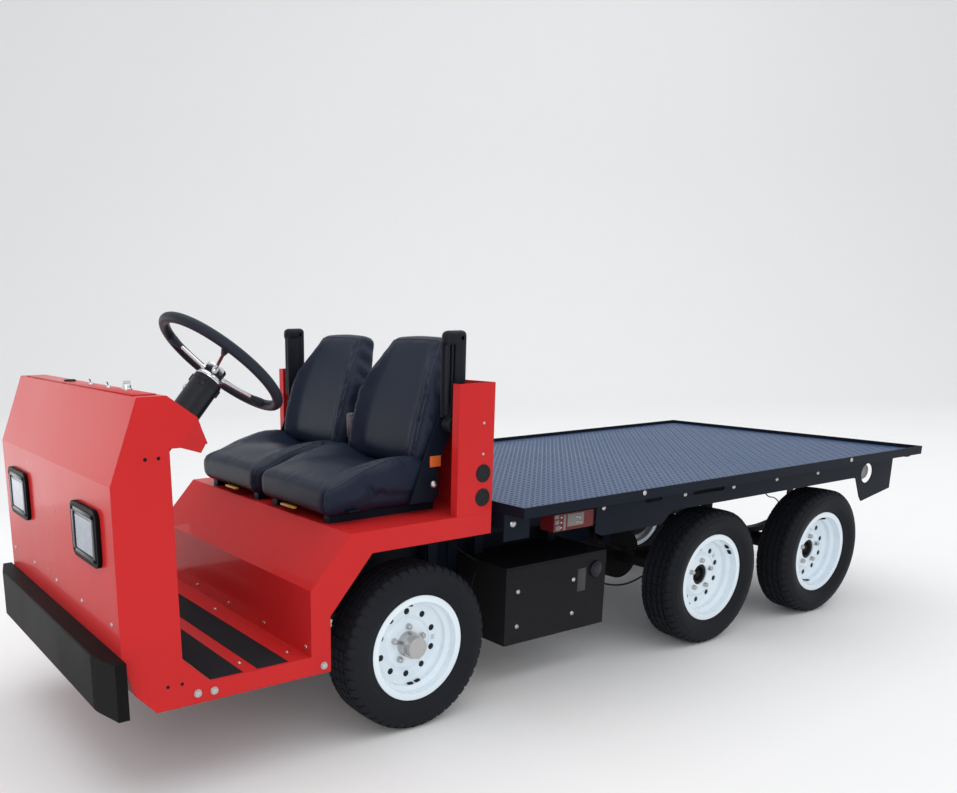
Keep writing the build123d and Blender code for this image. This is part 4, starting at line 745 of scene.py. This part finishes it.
def seam_paths(shape, place, kind):
    """The two seams up a cushion, or the one that runs round the face of a back, on the unit cube's shape."""
    paths = []
    for side in (-1, 1):
        line = []
        if kind == "cushion":
            line += [(side * 0.955, -1.0, -0.9 + 0.3 * k) for k in range(6)]
            line += [(side * (0.955 - 0.0018 * k), -0.94 + 0.06 * k, 1.0) for k in range(32)]
        else:
            line += [(side * 0.90, -1.0, -0.95 + 0.06 * k) for k in range(31)]
        paths.append([place @ shape(Vector(p)) for p in line])
    if kind == "back":
        top = [place @ shape(Vector((-0.90 + 0.1 * k, -1.0, 0.90))) for k in range(19)]
        paths = [paths[0] + top + paths[1][::-1]]
    return paths


lean_run, lean_rise = math.sin(BACK_LEAN), math.cos(BACK_LEAN)
back_turn = Matrix(((1, 0, 0), (0, lean_rise, lean_run), (0, -lean_run, lean_rise))).to_4x4()
for side, sign in SIDES:
    cushion_place = Matrix.Translation((sign * SEAT_X, CUSHION_Y, CUSHION_Z))
    back_place = Matrix.Translation((
        sign * SEAT_X, BACK_FOOT_Y + BACK_TALL * lean_run + BACK_DEEP * lean_rise,
        BACK_FOOT_Z + BACK_TALL * lean_rise - BACK_DEEP * lean_run)) @ back_turn
    for kind, shape, place in (("cushion", cushion_point, cushion_place), ("back", back_point, back_place)):
        pad = place_object(f"seat_{kind}_{side}", soft_mesh(f"seat_{kind}", shape, 34, place))
        pad.data.materials.append(VINYL)
        puffed(pad)
        bpy.context.view_layer.update()
        cords = in_place([tube_mesh("piping", laid_on(pad, path, 0.0004), 0.0016, 6)
                          for path in seam_paths(shape, place, kind)])
        piping = place_object(f"seat_{kind}_piping_{side}", joined("piping", cords, [PIPING_HIGHLIGHT]))
        for piece in (pad, piping):
            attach(piece, f"seat_{side}")
        if kind == "cushion":
            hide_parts(f"seat_pads_{side}")
paint(BLACK, "seat_frame_left", "seat_frame_right")
SEAT_BOLT = dome_mesh("seat_bolt", 0.0115, 0.008)
SEAT_BOLTS = both_sides((499.5, -658, 936), (480.0, -722, 760))
fasteners("seat_bolts_left", SEAT_BOLT, SEAT_BOLTS[:2], BOLT_STEEL, "seat_left")
fasteners("seat_bolts_right", SEAT_BOLT, SEAT_BOLTS[2:], BOLT_STEEL, "seat_right")

# Seat fittings: a yellow-tipped slide lever in front of each seat, a blank orange tag on each bracket, and a belt
# buckle on a stalk beside each back, all held to the seat's frame.
LEVER_YELLOW = finish_of("lever_yellow", (0.52, 0.30, 0.03), (0.42, 0.24, 0.03), 0.35, dust=0.0)
TAG_ORANGE = finish_of("tag_orange", (0.72, 0.14, 0.02), (0.62, 0.12, 0.02), 0.4, dust=0.0, edge=0.0)
# The buckle's wrap is black with large pale patches: the pale is a painted sheen on its plastic wrap.
BUCKLE_WRAP_SHEEN = finish_of("buckle_wrap_painted_sheen", (0.03, 0.025, 0.035), (0.16, 0.14, 0.17), 0.22, dust=0.0, scale=160.0,
                        strength=0.9, patch_scale=30.0, edge=0.0)
BUCKLE_X = 9.5
for side, sign in SIDES:
    mirror = Matrix.Scale(sign, 4, (1, 0, 0))
    buckle = joined("buckle", in_place([
        slab("stalk", (BUCKLE_X - 4, -712, 770), (BUCKLE_X + 3, -698, 860), 2),
        slab("head", (BUCKLE_X - 8, -718, 852), (BUCKLE_X + 7, -690, 938), 6, segments=3)]))
    fittings = (("lever", slab("lever", (158, -1082, 684), (240, -1066, 692), 3.5), LEVER_YELLOW, "module_red"),
                ("tag", slab("tag", (450.5, -716, 808), (453.0, -674, 842), 0.8), TAG_ORANGE, "module_red"),
                ("buckle", buckle, BUCKLE_WRAP_SHEEN, "lamp_frame"))
    for name, mesh, material, slot in fittings:
        mesh.transform(mirror)
        if sign < 0:
            mesh.flip_normals()
        mesh.materials.append(material)
        fitted(f"seat_{name}_{side}", mesh, f"seat_{side}")

# Armrests: a thick moulded pad with a broad head, on three upright straps that end in a pivot eye, both folded up
# beside the seat backs.
ARM_BLACK = finish_of("arm_black", (0.009, 0.010, 0.015), (0.014, 0.016, 0.023), 0.42, dust=0.0, scale=600.0,
                      strength=0.3, edge=0.002, gloss=0.12)
for side, sign in SIDES:
    parts = in_place([slab("pad", (459, -656, 1004), (497, -613, 1217), 16, segments=4),
                      slab("head", (459, -694, 1172), (497, -613, 1217), 17, segments=4),
                      slab("back_plate", (461, -690, 960), (470, -650, 1190), 3),
                      slab("foot", (466, -676, 930), (490, -640, 992), 4)])
    parts.append((cylinder_mesh("eye", 0.024, 0.034, 24, 0.003), Matrix.Translation((0.461, -0.658, 0.936))))
    for y in (-686, -672, -658):
        parts += in_place([slab("strap", (482, y, 968), (493, y + 7, 1190), 2),
                           slab("web", (468, y + 1, 968), (484, y + 5, 1190), 1)])
    mirror = Matrix.Scale(sign, 4, (1, 0, 0))
    mesh = smoothed(joined("armrest", [(part, mirror @ matrix) for part, matrix in parts], [ARM_BLACK]))
    if sign < 0:
        mesh.flip_normals()
    arm = fitted(f"armrest_dressed_{side}", mesh, f"armrest_{side}")
    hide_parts(f"armrest_{side}")

# Steering: a black moulded grip with three bright spokes that enter it through tapered sockets, a turned bright hub
# over a collar, and a black moulded shroud with a seam ring, side clips and a bright knob.
GRIP_BLACK = finish_of("grip_black", (0.015, 0.019, 0.029), (0.022, 0.027, 0.040), 0.42, dust=0.0, scale=900.0,
                       strength=0.3, edge=0.0, gloss=0.14)
SHROUD_BLACK = finish_of("shroud_black", (0.006, 0.007, 0.011), (0.010, 0.012, 0.018), 0.30, dust=0.0, scale=300.0,
                         strength=0.1, gloss=0.3)
STEER_TILT = math.radians(41.3)
STEER_RIM_R = 0.191
GRIP_R = 0.0165
SPOKE_ROOT_Z = -0.042
SPOKE_ANGLES = (95, 215, 335)
STEER = Matrix(((1, 0, 0, 0.290), (0, math.cos(STEER_TILT), math.sin(STEER_TILT), -1.332),
                (0, -math.sin(STEER_TILT), math.cos(STEER_TILT), 1.140), (0, 0, 0, 1)))
from_steer = STEER.inverted()
steering = NODES["steering_wheel"]
paint(GRIP_BLACK, "steering_wheel")
steering.data.materials.append(PLATED)
for face in steering.data.polygons:
    spot = from_steer @ face.center
    near_rim = math.hypot(math.hypot(spot.x, spot.y) - STEER_RIM_R, spot.z)
    face.material_index = 0 if near_rim < GRIP_R else 1
paint(SHROUD_BLACK, "steering_column")
SOCKET = spun_mesh("spoke_socket", [(0.006, 0.0120), (0.016, 0.0130), (0.030, 0.0112), (0.043, 0.0086),
                                    (0.053, 0.0070), (0.0560, 0.0058), (0.0560, 0.0)], 16)
COLLAR = spun_mesh("hub_collar", [(0.0, 0.030), (0.0, 0.0385), (0.0025, 0.0400), (0.0065, 0.0400), (0.0090, 0.0385),
                                  (0.0100, 0.0345), (0.0135, 0.0325), (0.0135, 0.030)], 40)
HUB_CAP = spun_mesh("hub_cap", [(0.0, 0.0302), (0.0030, 0.0302), (0.0060, 0.0285), (0.0078, 0.0240), (0.0086, 0.0)],
                    36)
sockets, bright = [], [(COLLAR, STEER @ Matrix.Translation((0, 0, -0.0610)) @ TURN_TO["+z"]),
                       (HUB_CAP, STEER @ Matrix.Translation((0, 0, -0.0225)) @ TURN_TO["+z"])]
for angle in SPOKE_ANGLES:
    turn = math.radians(angle)
    start = Vector((STEER_RIM_R * math.cos(turn), STEER_RIM_R * math.sin(turn), 0))
    inward = Vector((0, 0, SPOKE_ROOT_Z)) - start
    facing = inward.to_track_quat("X", "Z").to_matrix().to_4x4()
    sockets.append((SOCKET, STEER @ Matrix.Translation(start) @ facing))
    bright.append((cylinder_mesh("spoke_root", 0.0085, 0.012, 16, 0.002),
                   STEER @ Matrix.Translation(start + inward * 0.79) @ facing))
assembled("wheel_sockets", sockets, GRIP_BLACK, "steering_wheel")
assembled("wheel_hub_trim", bright, PLATED, "steering_wheel")
SEAM_RING = spun_mesh("seam_ring", [(0.0, 0.0420), (0.0, 0.0432), (0.004, 0.0436), (0.007, 0.0432),
                                    (0.007, 0.0420)], 40)
shroud = [(SEAM_RING, STEER @ Matrix.Translation((0, 0, z)) @ TURN_TO["+z"]) for z in (-0.078, -0.180)]
for angle in (55, 145, 235, 325):
    shroud.append((slab("clip", (40.5, -7, -92), (46.0, 7, -70), 1.5),
                   STEER @ Matrix.Rotation(math.radians(angle), 4, "Z")))
assembled("column_shroud_trim", shroud, SHROUD_BLACK)
knob_stand = STEER @ Matrix.Rotation(math.radians(228), 4, "Z") @ Matrix.Translation((0.0415, 0, -0.112))
assembled("column_knob", [(dome_mesh("column_knob", 0.010, 0.009), knob_stand)], PLATED)

# Battery and control box: a black sheet-metal box hung under the deck, with four bolts, a round cap, a blank plate
# and a seam where its lid folds over.
BOX_BLACK = finish_of("box_black", (0.0085, 0.0080, 0.0100), (0.0125, 0.0120, 0.0145), 0.42, scale=500.0,
                      strength=0.2, gloss=0.07)
paint(BOX_BLACK, "side_box")
box_face = 1000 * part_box("side_box")[1].x
fasteners("box_bolts", dome_mesh("box_bolt", 0.0085, 0.004),
          [(box_face, y, z, "+x") for y, z in ((-335, 347), (-72, 348), (-72, 224), (-335, 223))], BOLT_STEEL)
PLATE_BLANK = finish_of("plate_blank", (0.020, 0.019, 0.020), (0.034, 0.032, 0.033), 0.35, dust=0.0, scratch=0.6,
                        edge=0.0)
CAP = spun_mesh("box_cap", [(0.0, 0.0300), (0.004, 0.0300), (0.008, 0.0280), (0.010, 0.0220), (0.012, 0.0210),
                            (0.014, 0.0140), (0.014, 0.0)], 32)
fasteners("box_cap", CAP, [(box_face, 34, 372, "+x")], SHROUD_BLACK)
fitted("box_plate", slab("box_plate", (box_face, -54, 300), (box_face + 1.2, -13, 384), 0.5, PLATE_BLANK))
fitted("box_seam", slab("box_seam", (box_face - 8, -389, 424), (box_face + 1.0, 85, 430), 0.8, BOX_BLACK))

# Breaker module: a dark red moulded unit screwed under the deck edge, with a grey face, pale blank tabs and round
# studs of plated steel.
MODULE_RED = finish_of("module_red", (0.16, 0.010, 0.012), (0.11, 0.008, 0.010), 0.35, dust=0.0, gloss=0.3)
MODULE_GREY = finish_of("module_grey", (0.13, 0.125, 0.12), (0.20, 0.19, 0.18), 0.4, dust=0.0, edge=0.0)
paint(MODULE_RED, "breaker_module")
face_x = 1000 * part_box("breaker_module")[1].x
# y, z, width and height of each tab
TABS = ((-263, 604, 18, 12), (-260, 585, 18, 14), (-257, 564, 20, 16), (-204, 572, 76, 42), (-222, 562, 10, 52))
pale = in_place([slab("tab", (face_x - 1, y, z), (face_x + 1.2, y + wide, z + tall), 0.5)
                 for y, z, wide, tall in TABS])
assembled("module_face", pale, MODULE_GREY)
fasteners("module_studs", dome_mesh("module_stud", 0.0042, 0.003),
          [(face_x, -232, z, "+x") for z in (607, 590, 572)]
          + [(face_x + 1.2, y, z, "+x") for y, z in ((-160, 602), (-146, 598), (-158, 584), (-142, 581))], BOLT_STEEL)

# Small wheel parts: a rubber valve pushed through the rim, two black balance weights clipped to its edge and a
# blank pale sticker on each disc.
STICKER = finish_of("wheel_sticker", (0.50, 0.53, 0.58), (0.62, 0.65, 0.70), 0.4, dust=0.0, edge=0.0, scratch=0.0)
# angle of the weights round the wheel, their outer edge and their radius; then the sticker's angle
WHEEL_TRIM = {"front": (-82, 493, 133.8, 0), "middle": (39, 518, 147.8, 36), "rear": (-101, 506, 133.8, -108)}
for side, sign in SIDES:
    for place, axle_y in AXLES.items():
        body = f"wheel_{place}_{side}"
        hub = Matrix.Translation((0, axle_y, TREAD_R))
        if sign < 0:
            hub = hub @ Matrix.Rotation(math.pi, 4, "Z")
        angle, edge_x, reach, sticker_angle = WHEEL_TRIM[place]
        weights = []
        for shift in (-6, 6):
            turn = Matrix.Rotation(math.radians(angle + shift), 4, "X")
            weights.append((slab("weight", (edge_x - 13, reach - 4.5, -9), (edge_x, reach + 0.5, 9), 1.5), hub @ turn))
        valve_turn = Matrix.Rotation(math.radians(angle + 180), 4, "X")
        weights.append((VALVE, hub @ valve_turn @ Matrix.Translation((0.490, 0.134, 0))
                        @ Matrix.Rotation(math.radians(12), 4, "Z")))
        fitted(f"wheel_weights_{place}_{side}", joined("wheel_weights", weights, [TYRE_BLACK]), body)
        label_turn = Matrix.Rotation(math.radians(sticker_angle), 4, "X")
        label = joined("wheel_sticker", [(slab("sticker", (469.8, 97, -8), (470.6, 110, 8), 0.2), hub @ label_turn)],
                       [STICKER])
        fitted(f"wheel_sticker_{place}_{side}", label, body)

# Rear lamp cans: a pale moulded lamp body behind the hole at each end of the side plates, held by its own rubber
# ring.
CAN_WHITE = finish_of("lamp_can", (0.42, 0.41, 0.40), (0.30, 0.29, 0.28), 0.35, dust=0.0)
LAMP_CAN = spun_mesh("lamp_can", [(0.0, 0.0), (0.0, 0.030), (0.008, 0.035), (0.050, 0.035), (0.056, 0.030),
                                  (0.058, 0.0)], 32)
fasteners("rear_lamp_cans", LAMP_CAN, both_sides((470, 1596, 580)), CAN_WHITE)

# Wiring: three short black cables that hang free between clamps under the deck, each fixed at both ends: one
# behind the box, one by the front wheel and one by the rear axle.
CABLE_BLACK = finish_of("cable_black", (0.008, 0.008, 0.009), (0.013, 0.013, 0.014), 0.45, dust=0.0, gloss=0.25)
# name, length, diameter and the points that the route is drawn through
ROUTES = (("box_cable", 0.50, 0.007, ((0.330, 0.087, 0.330), (0.330, 0.170, 0.275), (0.330, 0.300, 0.228),
                                      (0.330, 0.430, 0.232), (0.330, 0.560, 0.285))),
          ("front_loop", 0.23, 0.004, ((0.250, -0.470, 0.500), (0.300, -0.430, 0.455), (0.310, -0.375, 0.425),
                                       (0.305, -0.400, 0.375), (0.290, -0.392, 0.330))),
          ("brake_loop", 0.30, 0.005, ((0.250, 1.300, 0.500), (0.250, 1.350, 0.450), (0.250, 1.410, 0.445),
                                       (0.250, 1.460, 0.400), (0.250, 1.380, 0.300))))


def curve_data(name, points, radius, material):
    data = bpy.data.curves.new(name, "CURVE")
    data.dimensions = "3D"
    data.bevel_depth = radius
    data.bevel_resolution = 3
    data.use_fill_caps = True
    line = data.splines.new("NURBS")
    line.points.add(len(points) - 1)
    for point, co in zip(line.points, points):
        point.co = (*co, 1)
    line.order_u = 3
    line.use_endpoint_u = True
    line.resolution_u = 12
    data.materials.append(material)
    return data


for name, length, diameter, points in ROUTES:
    cable = fitted(name, curve_data(name, points, diameter / 2, CABLE_BLACK))

# The stage: a pale sweep of floor and wall under even studio light, with one tall softbox low at the right front
# that draws a pale sheen across the nose.
VIEW_AZIMUTH, VIEW_ELEVATION, VIEW_ROLL = (math.radians(v) for v in (58.943, 13.912, -0.767))
FLOOR_NEAR, FLOOR_FAR, SWEEP_HALF = -14.0, 9.0, 22.0
SWEEP_R, SWEEP_TOP, SWEEP_STEPS = 4.0, 16.0, 12
edge_points = [(FLOOR_NEAR, 0.0), (FLOOR_FAR, 0.0)]
for step in range(1, SWEEP_STEPS + 1):
    turn = math.radians(90 * step / SWEEP_STEPS)
    edge_points.append((FLOOR_FAR + SWEEP_R * math.sin(turn), SWEEP_R - SWEEP_R * math.cos(turn)))
edge_points.append((FLOOR_FAR + SWEEP_R, SWEEP_TOP))
across = Vector((-math.cos(VIEW_AZIMUTH), -math.sin(VIEW_AZIMUTH), 0))
away = Vector((-math.sin(VIEW_AZIMUTH), math.cos(VIEW_AZIMUTH), 0))
corners = [away * run + across * span + Vector((0, 0, rise))
           for run, rise in edge_points for span in (-SWEEP_HALF, SWEEP_HALF)]
sweep = mesh_from("studio_sweep", corners,
                  [(2 * i, 2 * i + 1, 2 * i + 3, 2 * i + 2) for i in range(len(edge_points) - 1)])
sweep.polygons.foreach_set("use_smooth", [True] * len(sweep.polygons))
PAPER = finish_of("studio_paper", (0.84, 0.84, 0.84), (0.85, 0.85, 0.85), 0.9, dust=0.0, scratch=0.0, strength=0.02,
                  edge=0.0, gloss=0.1)
sweep.materials.append(PAPER)
place_object("studio_sweep", sweep)

world = bpy.data.worlds.new("studio_air")
bpy.context.scene.world = world
world.use_nodes = True
air = world.node_tree.nodes["Background"].inputs
air["Color"].default_value = (0.97, 0.98, 1.0, 1)
air["Strength"].default_value = 0.79


def softbox(name, place, target, size, power):
    data = bpy.data.lights.new(name, "AREA")
    data.shape = "RECTANGLE"
    data.size, data.size_y = size
    data.energy = power
    facing = (Vector(target) - Vector(place)).to_track_quat("-Z", "Y").to_euler()
    place_object(name, data, place, facing)


softbox("overhead_softbox", (0.0, 2.0, 9.0), (0, 2.0, 0), (14.0, 16.0), 560)
softbox("left_softbox", (4.8, -4.4, 2.4), (0, 0, 0.6), (4.0, 3.0), 60)
softbox("nose_softbox", (-3.7, -2.9, 0.95), (0.0, -2.9, 0.95), (1.6, 1.9), 14)

# Camera: a standing eye at the front left corner, with its place, lens and shift as solved from the straight edges
# of the deck and the body.
CAMERA_PLACE = (2.665033, -2.461478, 1.266808)
SENSOR_MM, LENS_MM = 36.0, 34.636
camera = place_object("camera", bpy.data.cameras.new("camera"))
back = Vector((math.sin(VIEW_AZIMUTH) * math.cos(VIEW_ELEVATION), -math.cos(VIEW_AZIMUTH) * math.cos(VIEW_ELEVATION),
               math.sin(VIEW_ELEVATION)))
right = (-back).cross(Vector((0, 0, 1))).normalized()
up = right.cross(-back)
across_view = math.cos(VIEW_ROLL) * right + math.sin(VIEW_ROLL) * up
up_view = -math.sin(VIEW_ROLL) * right + math.cos(VIEW_ROLL) * up
turn = Matrix((across_view, up_view, back)).transposed()
camera.matrix_world = Matrix.Translation(CAMERA_PLACE) @ turn.to_4x4()
camera.data.sensor_width = SENSOR_MM
camera.data.lens = LENS_MM
camera.data.shift_x = 0.17021
camera.data.shift_y = 0.15308
bpy.context.scene.camera = camera
bpy.context.scene.view_settings.view_transform = "Standard"
